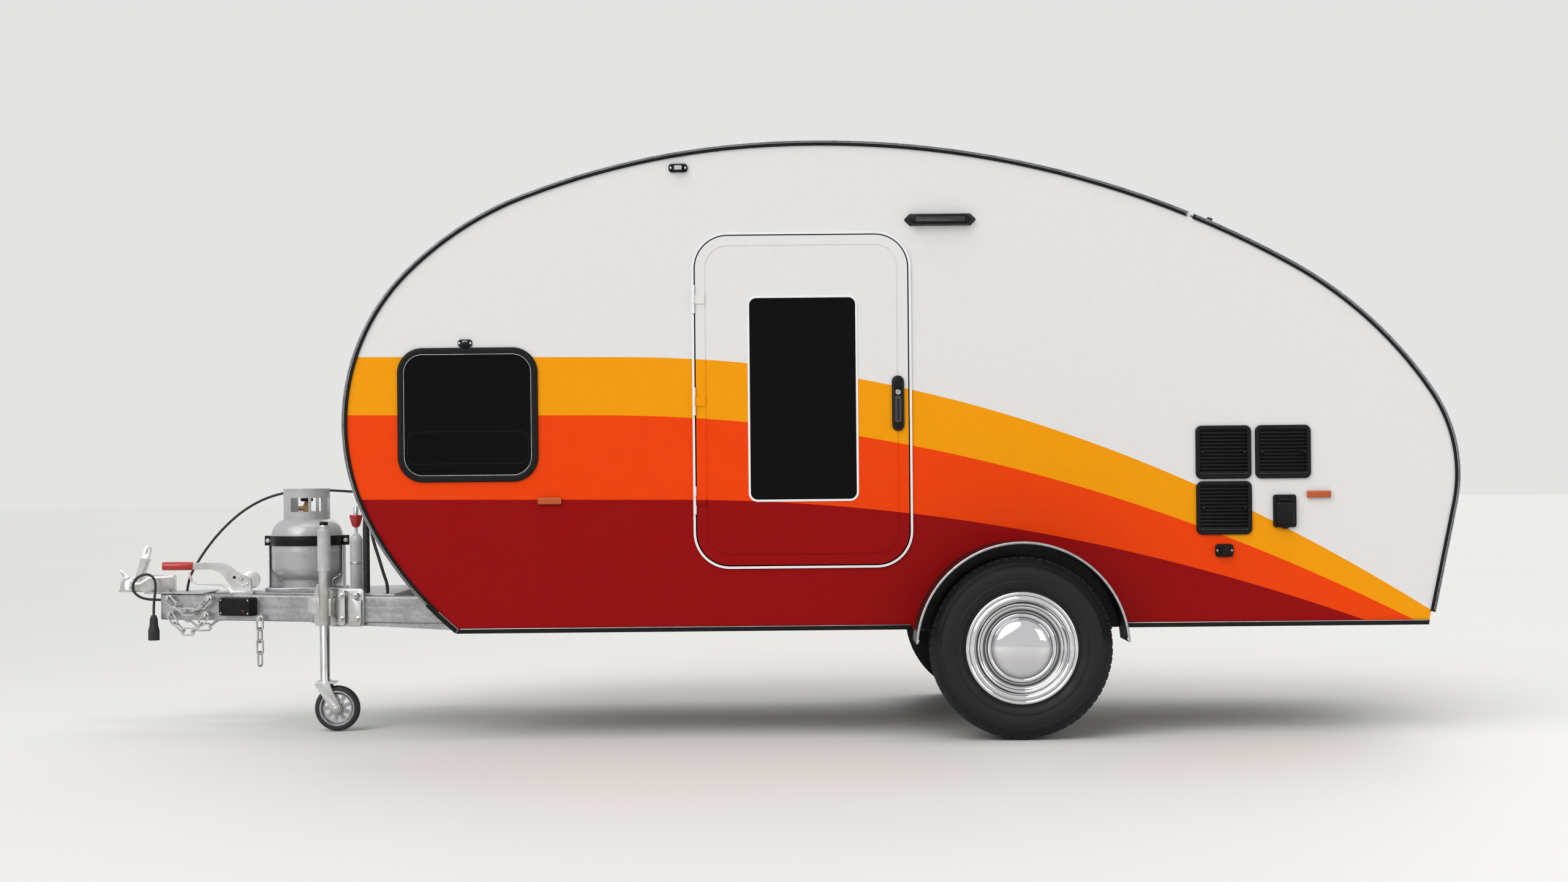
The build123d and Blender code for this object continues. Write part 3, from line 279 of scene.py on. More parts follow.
def chrome():
    """Mirror chrome with the faintest smear, and painted dark reflections in rings at the pressed grooves and
    the flat band.
    """
    finish = Finish("chrome", linear(222, 222, 225), 0.04, metallic=1.0)
    smear = finish.noise(16.0, 5.0)
    bright = finish.mix(smear, linear(226, 226, 229), linear(206, 206, 211))
    reach = finish.radius((WHEEL.x, 0, WHEEL.z))
    # Rings darkened by radius: a painted dark reflection
    dust_and_painted_reflection = 0
    for groove, half in CAP_DARK_RINGS:
        dust_and_painted_reflection = finish.ramp(abs(reach - groove), 0.0, half, 1.0, 0.0) + dust_and_painted_reflection
    finish.feed("Base Color", finish.mix(finish.maths("MINIMUM", dust_and_painted_reflection, 1.0), bright, linear(70, 69, 70)))
    finish.feed("Roughness", finish.ramp(smear, 0.4, 0.8, 0.025, 0.09))
    return finish.material


def hose_rubber():
    """Matt black rubber of hoses, leads and seals."""
    finish = Finish("hose_rubber", linear(22, 22, 22), 0.6)
    finish.feed("Base Color", finish.mix(finish.noise(40.0, 4.0), linear(16, 16, 16), linear(36, 35, 34)))
    finish.feed("Roughness", finish.ramp(finish.noise(60.0), 0.3, 0.7, 0.48, 0.68))
    finish.bump(finish.noise(700.0, 2.0), 0.0002, 0.5)
    return finish.material


def ribbed_conduit():
    """Black conduit with faint rings across the upright run, its colour darker in the troughs as painted
    shade.
    """
    finish = Finish("ribbed_conduit", linear(20, 20, 20), 0.45)
    sockets = {"Vector": finish.place, "Scale": 55.0}
    rings = finish.node("ShaderNodeTexWave", {"bands_direction": "Z"}, sockets)
    finish.feed("Base Color", finish.mix(rings, linear(12, 12, 12), linear(22, 22, 22)))
    finish.feed("Roughness", finish.ramp(rings, 0.0, 1.0, 0.5, 0.42))
    finish.bump(rings, 0.0006, 0.5)
    return finish.material


def tyre_rubber():
    """Tyre rubber: dull tread with road dust, darker dressed sidewall."""
    finish = Finish("tyre_rubber", linear(20, 20, 21), 0.7)
    finish.feed("Specular IOR Level", 0.3)
    tread = finish.ramp(finish.radius((WHEEL.x, 0, WHEEL.z)), 0.300, 0.318)
    dust_and_painted_reflection = tread * finish.ramp(finish.noise(30.0, 5.0), 0.3, 0.7, 0.35, 1.0)
    finish.feed("Base Color", finish.mix(dust_and_painted_reflection, linear(18, 18, 19), linear(46, 45, 43)))
    finish.feed("Roughness", finish.ramp(finish.noise(22.0, 4.0) + tread * 0.5, 0.3, 1.2, 0.5, 0.82))
    finish.bump(finish.noise(520.0, 3.0), 0.0004, 0.5)
    return finish.material


def steel_paint():
    """Black chassis enamel on axle, springs and wheel discs."""
    finish = Finish("steel_paint", linear(30, 30, 31), 0.45)
    grit = finish.ramp(finish.noise(35.0, 5.0), 0.45, 0.75)
    finish.feed("Base Color", finish.mix(grit, linear(24, 24, 25), linear(54, 51, 48)))
    finish.feed("Roughness", finish.ramp(grit, 0.0, 1.0, 0.35, 0.7))
    finish.bump(finish.noise(260.0, 3.0), 0.0004, 0.5)
    return finish.material


def bottle_paint():
    """Silver-grey enamel of the gas bottle, scuffed at foot and shoulder."""
    finish = Finish("bottle_paint", linear(176, 177, 178), 0.34, metallic=0.25, coat=0.2)
    scuff = finish.ramp(finish.noise(38.0, 6.0), 0.58, 0.72)
    tone = finish.mix(finish.noise(5.0), linear(184, 185, 186), linear(166, 167, 169))
    finish.feed("Base Color", finish.mix(scuff * 0.5, tone, linear(132, 131, 130)))
    finish.feed("Roughness", finish.ramp(finish.noise(20.0) + scuff * 0.4, 0.3, 1.0, 0.26, 0.5))
    finish.bump(finish.noise(420.0, 2.0), 0.0002, 0.4)
    return finish.material


def gloss_paint(name, red, green, blue, rough=0.28):
    """Plain coloured gloss with a little wear."""
    finish = Finish(name, linear(red, green, blue), rough, coat=0.3)
    dull = linear(0.82 * red, 0.82 * green, 0.82 * blue)
    finish.feed("Base Color", finish.mix(finish.noise(30.0, 4.0), linear(red, green, blue), dull))
    finish.feed("Roughness", finish.ramp(finish.noise(60.0, 4.0), 0.3, 0.7, rough - 0.06, rough + 0.12))
    finish.bump(finish.noise(600.0, 2.0), 0.0002, 0.4)
    return finish.material


def dark_glass():
    """Black tinted glazing."""
    finish = Finish("dark_glass", linear(7, 7, 8), 0.06)
    finish.feed("Specular IOR Level", 0.08)
    film = finish.noise(6.0, 5.0)
    finish.feed("Base Color", finish.mix(film, linear(5, 5, 6), linear(11, 11, 12)))
    finish.feed("Roughness", finish.ramp(film, 0.35, 0.75, 0.04, 0.1))
    return finish.material


def lens(name, colour, deep, pitch=0.006, letter="X"):
    """Moulded lamp lens with fluted optics, its colour deeper in the flute valleys as painted shade."""
    finish = Finish(name, colour, 0.12, coat=0.2)
    flutes = abs(finish.maths("PINGPONG", finish.axis(letter), pitch / 2)) * (2 / pitch)
    finish.feed("Base Color", finish.mix(flutes, deep, colour))
    finish.feed("Roughness", finish.ramp(finish.noise(80.0), 0.3, 0.7, 0.08, 0.2))
    finish.bump(flutes, 0.0012, 0.8)
    return finish.material


def floor_board():
    """Dark-stained ply of the floor's underside."""
    finish = Finish("floor_board", linear(58, 46, 36), 0.6)
    grain = finish.noise(1.0, 6.0, finish.stretched((3.0, 60.0, 60.0)))
    finish.feed("Base Color", finish.mix(grain, linear(40, 31, 24), linear(92, 74, 56)))
    finish.feed("Roughness", finish.ramp(grain, 0.3, 0.7, 0.5, 0.72))
    finish.bump(grain, 0.0006, 0.5)
    return finish.material


FINISHES = {
    "striped_paint": striped_paint(),
    "white_paint": white_paint(),
    "frame_white": frame_white(),
    "black": moulded_black("moulded_black"),
    "deep_black": moulded_black("shadow_black", 5, 0.6),
    "grey_insert_and_highlight": moulded_black("grey_insert_and_highlight", 62, 0.5),
    "guard_black": guard_black(),
    "galvanised": galvanised(),
    "zinc": zinc(),
    # Light grey used only for painted highlights: mudguard lips, trim corners and sill line, window inner line
    "painted_highlight": galvanised("painted_highlight_trim", 150, 190),
    "bead_grey": galvanised("bead_grey", 92, 118),
    "chrome": chrome(),
    "hose": hose_rubber(),
    "conduit": ribbed_conduit(),
    "tyre": tyre_rubber(),
    "steel": steel_paint(),
    "bottle": bottle_paint(),
    "red": gloss_paint("safety_red", 186, 18, 20),
    "silver": gloss_paint("bottle_silver", 196, 197, 198),
    "brass": gloss_paint("valve_brass", 176, 140, 74),
    "glass": dark_glass(),
    "amber": lens("amber_lens", linear(206, 92, 12), linear(158, 58, 4)),
    "red_lens": lens("red_lens", linear(190, 18, 16), linear(120, 6, 6), 0.008, "Z"),
    "clear_lens": lens("clear_lens", linear(210, 212, 214), linear(150, 152, 155)),
    "smoked_lens": lens("smoked_lens", linear(26, 26, 28), linear(12, 12, 13), 0.004, "Z"),
    "floor_board": floor_board(),
}


# Shapes: each function returns a new bmesh in its own coordinates, Z out of the surface it sits on
def rounded_face(width, height, corner, corner_steps):
    """A flat face with rounded corners."""
    part = bmesh.new()
    bmesh.ops.create_grid(part, x_segments=1, y_segments=1, size=0.5)
    bmesh.ops.scale(part, vec=(width, height, 1), verts=part.verts)
    if corner:
        bmesh.ops.bevel(part, geom=part.verts[:], offset=corner, segments=corner_steps, profile=0.5,
                        affect="VERTICES", material=-1)
    return part


def raised(part, thick, edge, draft=1.0):
    """Extrudes all faces of a flat shape along Z and rounds the edges of its top."""
    made = bmesh.ops.extrude_face_region(part, geom=part.faces[:])["geom"]
    top = [v for v in made if isinstance(v, bmesh.types.BMVert)]
    bmesh.ops.translate(part, vec=(0, 0, thick), verts=top)
    bmesh.ops.scale(part, vec=(draft, draft, 1), verts=top)
    bmesh.ops.recalc_face_normals(part, faces=part.faces)
    if edge:
        crown = set(top)
        rim = [e for e in part.edges if e.verts[0] in crown and e.verts[1] in crown and len(e.link_faces) == 2
               and e.calc_face_angle(0) > 0.5]
        bmesh.ops.bevel(part, geom=rim, offset=edge, segments=3, profile=0.5, affect="EDGES", material=-1)
    return part


def slab(width, height, corner, thick, edge=0.0, draft=1.0, corner_steps=6):
    """A rounded plate with its top edge eased."""
    return raised(rounded_face(width, height, corner, corner_steps), thick, edge, draft)


def surround(width, height, corner, rim, thick, edge, corner_steps=10):
    """A rounded frame with both top edges eased."""
    part = rounded_face(width, height, corner, corner_steps)
    inner = part.faces[:]
    bmesh.ops.inset_region(part, faces=inner, thickness=rim, use_even_offset=True, use_boundary=True)
    bmesh.ops.delete(part, geom=inner, context="FACES")
    return raised(part, thick, edge)


def lathe(points, steps=48):
    """A shape turned about Z from points of radius and height."""
    part = bmesh.new()
    verts = [part.verts.new((radius, 0, height)) for radius, height in points]
    edges = [part.edges.new(pair) for pair in zip(verts, verts[1:])]
    bmesh.ops.spin(part, geom=verts + edges, cent=(0, 0, 0), axis=(0, 0, 1), angle=tau, steps=steps,
                   use_merge=True)
    bmesh.ops.remove_doubles(part, verts=part.verts, dist=0.000005)
    bmesh.ops.recalc_face_normals(part, faces=part.faces)
    return part


def rod(radius, length, edge=0.0, steps=24):
    """A round bar along Z with eased ends."""
    inner = radius - edge
    points = [(0, 0), (inner, 0), (radius, edge), (radius, length - edge), (inner, length), (0, length)]
    return lathe(points, steps)


def hex_head(across, height):
    """A hexagon bolt head with a stepped top, on its washer."""
    part = bmesh.new()
    reach = across / 2
    bmesh.ops.create_cone(part, cap_ends=True, segments=6, radius1=reach, radius2=reach, depth=height)
    bmesh.ops.translate(part, vec=(0, 0, height / 2), verts=part.verts)
    top = [f for f in part.faces if f.normal.z > 0.9]
    bmesh.ops.inset_region(part, faces=top, thickness=across * 0.09, depth=height * 0.14)
    join(part, rod(across * 0.68, height * 0.16, height * 0.05, 20), Matrix())
    return part


def pan_screw(radius):
    """A small domed screw head."""
    dome = [(1.0, 0.0), (0.92, 0.35), (0.6, 0.55), (0.0, 0.62)]
    return lathe([(radius * out, radius * rise) for out, rise in dome], 16)


def join(bm, part, matrix, finish=None):
    """Adds a part to a bmesh at a place, and frees it."""
    if finish is not None:
        for face in part.faces:
            face.material_index = finish
    bmesh.ops.transform(part, matrix=matrix, verts=part.verts)
    if matrix.determinant() < 0:
        bmesh.ops.reverse_faces(part, faces=part.faces)
    mesh = bpy.data.meshes.new("part")
    part.to_mesh(mesh)
    part.free()
    bm.from_mesh(mesh)
    bpy.data.meshes.remove(mesh)


def ease(part, offset, over, beyond):
    """Rounds the edges sharper than an angle, from a distance beyond the middle plane."""
    sharp = [e for e in part.edges if len(e.link_faces) == 2 and e.calc_face_angle(0) > radians(over)
             and min(abs(v.co.y) for v in e.verts) >= beyond]
    bmesh.ops.bevel(part, geom=sharp, offset=offset, segments=2, profile=0.5, affect="EDGES", material=-1,
                    clamp_overlap=True)


def both_sides(bm):
    """Adds the right-hand twin of what stands on the left."""
    copy = bmesh.ops.duplicate(bm, geom=bm.verts[:] + bm.edges[:] + bm.faces[:])["geom"]
    bmesh.ops.scale(bm, vec=(1, -1, 1), verts=[g for g in copy if isinstance(g, bmesh.types.BMVert)])
    bmesh.ops.reverse_faces(bm, faces=[g for g in copy if isinstance(g, bmesh.types.BMFace)])
    return bm


def flipped(bm):
    """Turns a left-hand shape into the right-hand one."""
    bmesh.ops.scale(bm, vec=(1, -1, 1), verts=bm.verts)
    bmesh.ops.reverse_faces(bm, faces=bm.faces)
    return bm


def piece(name, bm, body, finishes, stands_for=(), smooth=35):
    """Makes a bmesh a finished piece that rides on a body."""
    mesh = bpy.data.meshes.new(name)
    bm.to_mesh(mesh)
    bm.free()
    for finish in finishes:
        mesh.materials.append(FINISHES[finish])
    # Normals that came with a CAD mesh no longer fit the merged copy
    if "custom_normal" in mesh.attributes:
        mesh.attributes.remove(mesh.attributes["custom_normal"])
    mesh.polygons.foreach_set("use_smooth", [True] * len(mesh.polygons))
    mesh.set_sharp_from_angle(angle=radians(smooth))
    made = bpy.data.objects.new(name, mesh)
    bpy.context.scene.collection.objects.link(made)
    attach(made, body)
    if stands_for:
        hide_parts(*stands_for)
    return made


def on_wall(x, z, out=0.0):
    """A place on the left wall, a distance out of its face: Z points out, Y up."""
    return Matrix.Translation((x, WALL - out, z)) @ Matrix.Rotation(pi / 2, 4, "X")


def turned_to(direction, at):
    """A place whose Z points along a direction."""
    return Matrix.Translation(at) @ Vector(direction).to_track_quat("Z", "Y").to_matrix().to_4x4()


def on_axle(centre):
    """A place on a wheel's axle: Z points out to the left."""
    return Matrix.Translation(centre) @ Matrix.Rotation(pi / 2, 4, "X")


def mirrored(half):
    """A whole wheel section of radius and distance out, from its outer half."""
    return half + [(radius, -out) for radius, out in reversed(half)]


def detail(node, bm, slot, finishes):
    """Makes the piece that takes the place of one CAD node, on the node's body."""
    return piece(f"{node}_detail", bm, BODY_OF[node], finishes, [node])


def left_and_right(name, build, slot, finishes):
    """Makes a left-hand piece and its right-hand twin, each for the CAD node of its name."""
    detail(f"{name}_left", build(), slot, finishes)
    detail(f"{name}_right", flipped(build()), slot, finishes)


# CAD pieces whose form is right: a merged copy with eased edges
def eased_copy(node, edge, over=30, beyond=0.0):
    """A merged copy of a CAD node, its sharp edges rounded where a size is given."""
    part = bmesh.new()
    part.from_mesh(frame["nodes"][node].data)
    bmesh.ops.remove_doubles(part, verts=part.verts, dist=0.00002)
    if edge:
        bmesh.ops.dissolve_limit(part, angle_limit=radians(0.4), verts=part.verts, edges=part.edges)
        ease(part, edge, over, beyond)
    return part


# Node, slot, finish, and how far its edges are eased in metres
EASED = [
    ("roof_skin", "white_paint", "white_paint", 0.0), ("rear_hatch", "white_paint", "white_paint", 0.0),
    ("hatch_hinge", "white_paint", "frame_white", 0.0), ("hatch_handle", "black_trim", "black", 0.003),
    ("door_frames", "frame_white", "frame_white", 0.0),
    ("chassis_rails", "galvanised", "galvanised", 0.004), ("crossmembers", "galvanised", "galvanised", 0.004),
    ("drawbar_left", "galvanised", "galvanised", 0.0), ("drawbar_right", "galvanised", "galvanised", 0.0),
    ("drawbar_plates", "galvanised", "galvanised", 0.0015), ("axle_beam", "chassis_paint", "steel", 0.003),
    ("leaf_springs", "chassis_paint", "steel", 0.0012), ("spring_hangers", "chassis_paint", "steel", 0.0015),
    ("wheel_left", "wheel_steel", "steel", 0.002), ("wheel_right", "wheel_steel", "steel", 0.002),
    ("coupling_head", "zinc", "zinc", 0.002), ("coupling_lever", "zinc", "zinc", 0.003),
    ("drawbar_chains", "zinc", "zinc", 0.0022), ("chain_studs", "zinc", "zinc", 0.001),
    ("jockey_clamp", "zinc", "zinc", 0.0025), ("jockey_fork", "zinc", "zinc", 0.0012),
    ("jockey_rim", "zinc", "galvanised", 0.0012),
    ("bottle_holder", "galvanised", "galvanised", 0.001), ("bottle_strap", "black_trim", "black", 0.0008),
]

for node_name, slot_name, finish_name, edge_size in EASED:
    copy = eased_copy(node_name, edge_size)
    piece(f"{node_name}_eased", copy, BODY_OF[node_name], [finish_name], [node_name])

# CAD pieces that stay as they are, with a finish
KEPT = {
    "side_wall_left": "striped_paint", "side_wall_right": "striped_paint", "floor_panel": "floor_board",
    "door_glass_left": "glass", "door_glass_right": "glass", "window_panes": "glass",
    "front_conduit": "conduit",
}

for node_name, finish_name in KEPT.items():
    data = frame["nodes"][node_name].data
    data.materials.clear()
    data.materials.append(FINISHES[finish_name])

# Mudguards: gloss black, a painted highlight along the rolled edge, a screw at each end and a black strip
# behind the tyre
GUARD_SCREW = (0.369, 0.356)
GUARD_SCREW_DEEP = 0.0034
GUARD_HIGHLIGHT_WIDTH = 0.0026
ARCH_STRIP = (0.724, 0.026)
ARCH_STRIP_AT = 0.397


def mudguard():
    part = eased_copy("mudguard_left", 0.0)
    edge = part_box("mudguard_left")[0].y
    # The outward crest of the rolled edge gets the light grey: a painted highlight
    for face in part.faces:
        if face.calc_center_median().y < edge + GUARD_HIGHLIGHT_WIDTH:
            face.material_index = 1
    reach, height = GUARD_SCREW
    for side in (-1, 1):
        place = (WHEEL.x + side * reach, edge + GUARD_SCREW_DEEP, height)
        join(part, pan_screw(0.0052), turned_to((0, -1, 0), place), 2)
    join(part, slab(*ARCH_STRIP, 0.0, 0.0025), on_wall(WHEEL.x, ARCH_STRIP_AT))
    return part


left_and_right("mudguard", mudguard, "guard_black", ["guard_black", "painted_highlight", "zinc"])

# Edge trims: painted highlight on the rolled corner, grey bead, black inner half, and a painted highlight line
# on top of the sill strip
BODY_MIDDLE = (middle("side_wall_left").x, middle("side_wall_left").z)
SILL_TOP = 0.47
BEAD_WIDTH = 0.0058
LINE_WIDTH = 0.0010


def lit_corner(face):
    """Whether an eased corner faces away from the body, or up on the sill strip: these get the painted
    highlight.
    """
    at = face.calc_center_median()
    outward = (at.x - BODY_MIDDLE[0]) * face.normal.x + (at.z - BODY_MIDDLE[1]) * face.normal.z > 0
    return 0.3 < abs(face.normal.y) < 0.97 and outward == (at.z > SILL_TOP)


def beside(faces, others):
    """Those of some faces that share an edge with any of the others."""
    return {face for face in faces if any(near in others for edge in face.edges for near in edge.link_faces)}


def edge_trims(node):
    part = eased_copy(node, 0.0022, 50, abs(WALL) + 0.006)
    corners = {face for face in part.faces if lit_corner(face)}
    sides = [face for face in part.faces if abs(face.normal.y) > 0.98
             and abs(face.calc_center_median().y) > abs(WALL) + 0.002]
    border = bmesh.ops.inset_region(part, faces=sides, thickness=BEAD_WIDTH, use_even_offset=True)["faces"]
    bead = {face for face in beside(border, corners) if face.calc_center_median().z > SILL_TOP}
    inner = bmesh.ops.inset_region(part, faces=sides, thickness=LINE_WIDTH, use_even_offset=True)["faces"]
    # Lit corners and the thin line beside the bead: painted highlights
    for face in corners | beside(inner, bead):
        face.material_index = 1
    for face in bead:
        face.material_index = 2
    finishes = ["black", "painted_highlight", "bead_grey"]
    piece(f"{node}_lined", part, BODY_OF[node], finishes, [node], 60)


edge_trims("body_trims")
edge_trims("hatch_trims")

# Rubber stops on the hatch trims, a little behind the hinge
STOP_LEAN = radians(22.7)
STOP_AT = (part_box("hatch_trims")[0].x + 0.0631, -0.768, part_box("hatch_trims")[1].z - 0.0240)
STOP_SIZE = (0.020, 0.030, 0.005, 0.0085, 0.0025)


def hatch_stops():
    bm = bmesh.new()
    join(bm, slab(*STOP_SIZE), Matrix.Translation(STOP_AT) @ Matrix.Rotation(STOP_LEAN, 4, "Y"))
    return both_sides(bm)


piece("hatch_stops", hatch_stops(), "rear_hatch", ["hose"])

# Doors: striped leaf with white hinge knuckles, white bead round the glass, handle with lock and grip
HINGE_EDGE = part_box("door_left")[0].x + 0.0095
GLASS_SIZE = (0.381, 0.724, 0.025)
BEAD_OVER = 0.0076
GLASS_AT = (0.151, 1.215)
HANDLE_AT = (0.492, 1.195)
LOCK = [(0.0075, 0), (0.0075, 0.003), (0.0092, 0.003), (0.0092, 0.005), (0.0078, 0.006), (0.0062, 0.005),
        (0.0056, 0.0035), (0, 0.0035)]


def door():
    part = eased_copy("door_left", 0.0)
    for face in part.faces:
        if face.calc_center_median().x < HINGE_EDGE:
            face.material_index = 1
    return part


def glass_bead():
    bm = bmesh.new()
    width, height, corner = GLASS_SIZE
    bead = surround(width + 2 * BEAD_OVER, height + 2 * BEAD_OVER, corner + BEAD_OVER, 0.0078, 0.003, 0.0012)
    join(bm, bead, on_wall(*GLASS_AT, LEAF + 0.0001))
    return bm


def door_handle():
    bm = bmesh.new()
    x, z = HANDLE_AT
    join(bm, slab(0.044, 0.199, 0.0219, 0.010, 0.004, corner_steps=10), on_wall(x, z, LEAF))
    join(bm, surround(0.036, 0.188, 0.0179, 0.0016, 0.0015, 0.0005), on_wall(x, z, LEAF + 0.010), 1)
    join(bm, slab(0.030, 0.034, 0.012, 0.007, 0.003), on_wall(x, z + 0.070, LEAF + 0.0095))
    join(bm, slab(0.024, 0.096, 0.008, 0.008, 0.003), on_wall(x, z - 0.021, LEAF + 0.0095), 1)
    join(bm, slab(0.005, 0.076, 0.002, 0.0012, 0.0005), on_wall(x, z - 0.021, LEAF + 0.0172), 0)
    join(bm, lathe(LOCK), on_wall(x, z + 0.040, LEAF + 0.009), 2)
    # Key slot in shadow black: painted shade
    join(bm, slab(0.0018, 0.008, 0.0, 0.0006), on_wall(x, z + 0.040, LEAF + 0.0125), 3)
    return bm


for side in ("left", "right"):
    bead = glass_bead() if side == "left" else flipped(glass_bead())
    piece(f"glass_bead_{side}", bead, f"door_{side}", ["frame_white"])
left_and_right("door", door, "body_paint", ["striped_paint", "frame_white"])
left_and_right("door_handle", door_handle, "black_trim", ["black", "grey_insert_and_highlight", "zinc", "deep_black"])

# Side windows: rubber surround with a painted highlight as its bright inner line, and a dark line low on the
# pane
WINDOW_SIZE = (0.505, 0.483, 0.091)
WINDOW_AT = (-1.054, 1.168)
WINDOW_RIM = 0.025
BLIND_SIZE = (0.436, 0.118, 0.030)
BLIND_AT = (-1.054, 1.050)


def window_surrounds():
    bm = bmesh.new()
    width, height, corner = WINDOW_SIZE
    join(bm, surround(width, height, corner, WINDOW_RIM, 0.0098, 0.0045, 14), on_wall(*WINDOW_AT))
    # Thin light ring inside the rim: a painted highlight
    join(bm, surround(width - 0.046, height - 0.046, corner - 0.023, 0.0022, 0.0040, 0.0006, 14),
         on_wall(*WINDOW_AT, 0.0062), 1)
    join(bm, surround(width - 0.024, height - 0.024, corner - 0.012, 0.0128, 0.030, 0.0, 14),
         on_wall(*WINDOW_AT, -0.030))
    join(bm, surround(*BLIND_SIZE, 0.0022, 0.0006, 0.0, 8), on_wall(*BLIND_AT, 0.0060), 2)
    return both_sides(bm)


detail("window_frames", window_surrounds(), "black_trim", ["black", "painted_highlight", "deep_black"])

# Wall lamps: faceted awning lamp, roof lamp with a clear window, hooded lamp over the side window
ROOF_LAMP_AT = (-0.290, 2.047)
HOOD_LAMP_AT = (-1.061, 1.425)
AWNING_LAMP_AT = (0.649, 1.853)


def wall_lamps():
    bm = bmesh.new()
    x, z = AWNING_LAMP_AT
    join(bm, slab(0.256, 0.044, 0.0190, 0.034, 0.006, 0.84, 1), on_wall(x, z))
    join(bm, slab(0.176, 0.018, 0.004, 0.0025, 0.001), on_wall(x, z, 0.0325), 1)
    for shift in (-0.068, 0.068):
        join(bm, slab(0.034, 0.0035, 0.001, 0.0012, 0.0004), on_wall(x + shift, z + 0.003, 0.0348), 4)
    x, z = ROOF_LAMP_AT
    join(bm, slab(0.069, 0.031, 0.013, 0.012, 0.004), on_wall(x, z))
    join(bm, slab(0.034, 0.025, 0.006, 0.012, 0.003), on_wall(x, z, 0.0115), 0)
    join(bm, slab(0.026, 0.015, 0.003, 0.0018, 0.0006), on_wall(x, z, 0.0225), 2)
    x, z = HOOD_LAMP_AT
    join(bm, slab(0.051, 0.028, 0.011, 0.008, 0.003), on_wall(x, z))
    hood = lathe([(0.0001, 0.012), (0.008, 0.0112), (0.013, 0.008), (0.015, 0.0)], 24)
    join(bm, hood, on_wall(x, z - 0.002, 0.0075))
    join(bm, slab(0.018, 0.005, 0.002, 0.003, 0.001), on_wall(x, z + 0.006, 0.0155), 2)
    for (x, z), reach, out in ((ROOF_LAMP_AT, 0.026, 0.0115), (HOOD_LAMP_AT, 0.0195, 0.0075)):
        for shift in (-reach, reach):
            join(bm, pan_screw(0.0042), on_wall(x + shift, z, out), 3)
    return both_sides(bm)


detail("wall_lamps", wall_lamps(), "black_trim",
       ["black", "smoked_lens", "clear_lens", "zinc", "grey_insert_and_highlight"])

# Side markers: black base with a fluted amber lens
MARKERS = [(-0.762, 0.856), (2.000, 0.854)]


def side_markers():
    bm = bmesh.new()
    for x, z in MARKERS:
        join(bm, slab(0.083, 0.022, 0.003, 0.004, 0.0005), on_wall(x, z), 1)
        join(bm, slab(0.086, 0.025, 0.004, 0.012, 0.0035), on_wall(x, z, 0.0036))
    return both_sides(bm)


detail("side_markers", side_markers(), "amber_lens", ["amber", "black"])

# Louvred vents: frame, slanted blades over a black back sheet as painted shade, two turn catches, and a drip
# lip in lighter grey as a painted highlight
VENTS = [(1.659, 1.008), (1.873, 1.008), (1.660, 0.808)]
VENT_SIZE = (0.200, 0.192, 0.022)
VENT_RIM = 0.016
BLADES = 12
BLADE_PITCH = 0.0128
BLADE_TILT = radians(-40)
CATCH = [(0.0062, 0), (0.0062, 0.006), (0.005, 0.0076), (0, 0.0076)]
CATCH_REACH = 0.075


def fridge_vents():
    bm = bmesh.new()
    for x, z in VENTS:
        join(bm, surround(*VENT_SIZE, VENT_RIM, 0.0108, 0.004), on_wall(x, z))
        # Black sheet behind the blades: painted shade where the opening is
        join(bm, slab(0.170, 0.162, 0.006, 0.002), on_wall(x, z, 0.0002), 1)
        for row in range(BLADES):
            rise = (row - (BLADES - 1) / 2) * BLADE_PITCH
            blade = slab(0.168, 0.0105, 0.001, 0.0018, 0.0006)
            join(bm, blade, on_wall(x, z + rise, 0.0058) @ Matrix.Rotation(BLADE_TILT, 4, "X"))
        for shift in (-CATCH_REACH, CATCH_REACH):
            join(bm, lathe(CATCH, 24), on_wall(x + shift, z, 0.006))
            join(bm, slab(0.0090, 0.0020, 0.0, 0.0012, 0.0003), on_wall(x + shift, z, 0.0134), 2)
        # Drip lip and its slanted ends in lighter grey: a painted highlight
        join(bm, slab(0.166, 0.0034, 0.0016, 0.0024, 0.001), on_wall(x, z - 0.0775, 0.0098), 2)
        for side in (-1, 1):
            lip_end = on_wall(x + side * 0.0815, z - 0.0750, 0.0098)
            slant = Matrix.Rotation(side * radians(45), 4, "Z")
            join(bm, slab(0.0085, 0.0030, 0.0014, 0.0024, 0.001), lip_end @ slant, 2)
    return bm


detail("fridge_vents", fridge_vents(), "black_trim", ["black", "deep_black", "grey_insert_and_highlight"])

# Power inlet with its hinged cover and latch, and the small socket plate below
INLET_AT = (1.877, 0.795)
SOCKET_AT = (1.659, 0.655)
SOCKET_CAP = [(0.0175, 0), (0.0175, 0.012), (0.0150, 0.0165), (0.006, 0.018), (0, 0.018)]
SOCKET_RING = [(0.0085, 0), (0.0085, 0.0015), (0.0060, 0.0015), (0.0060, 0.0)]


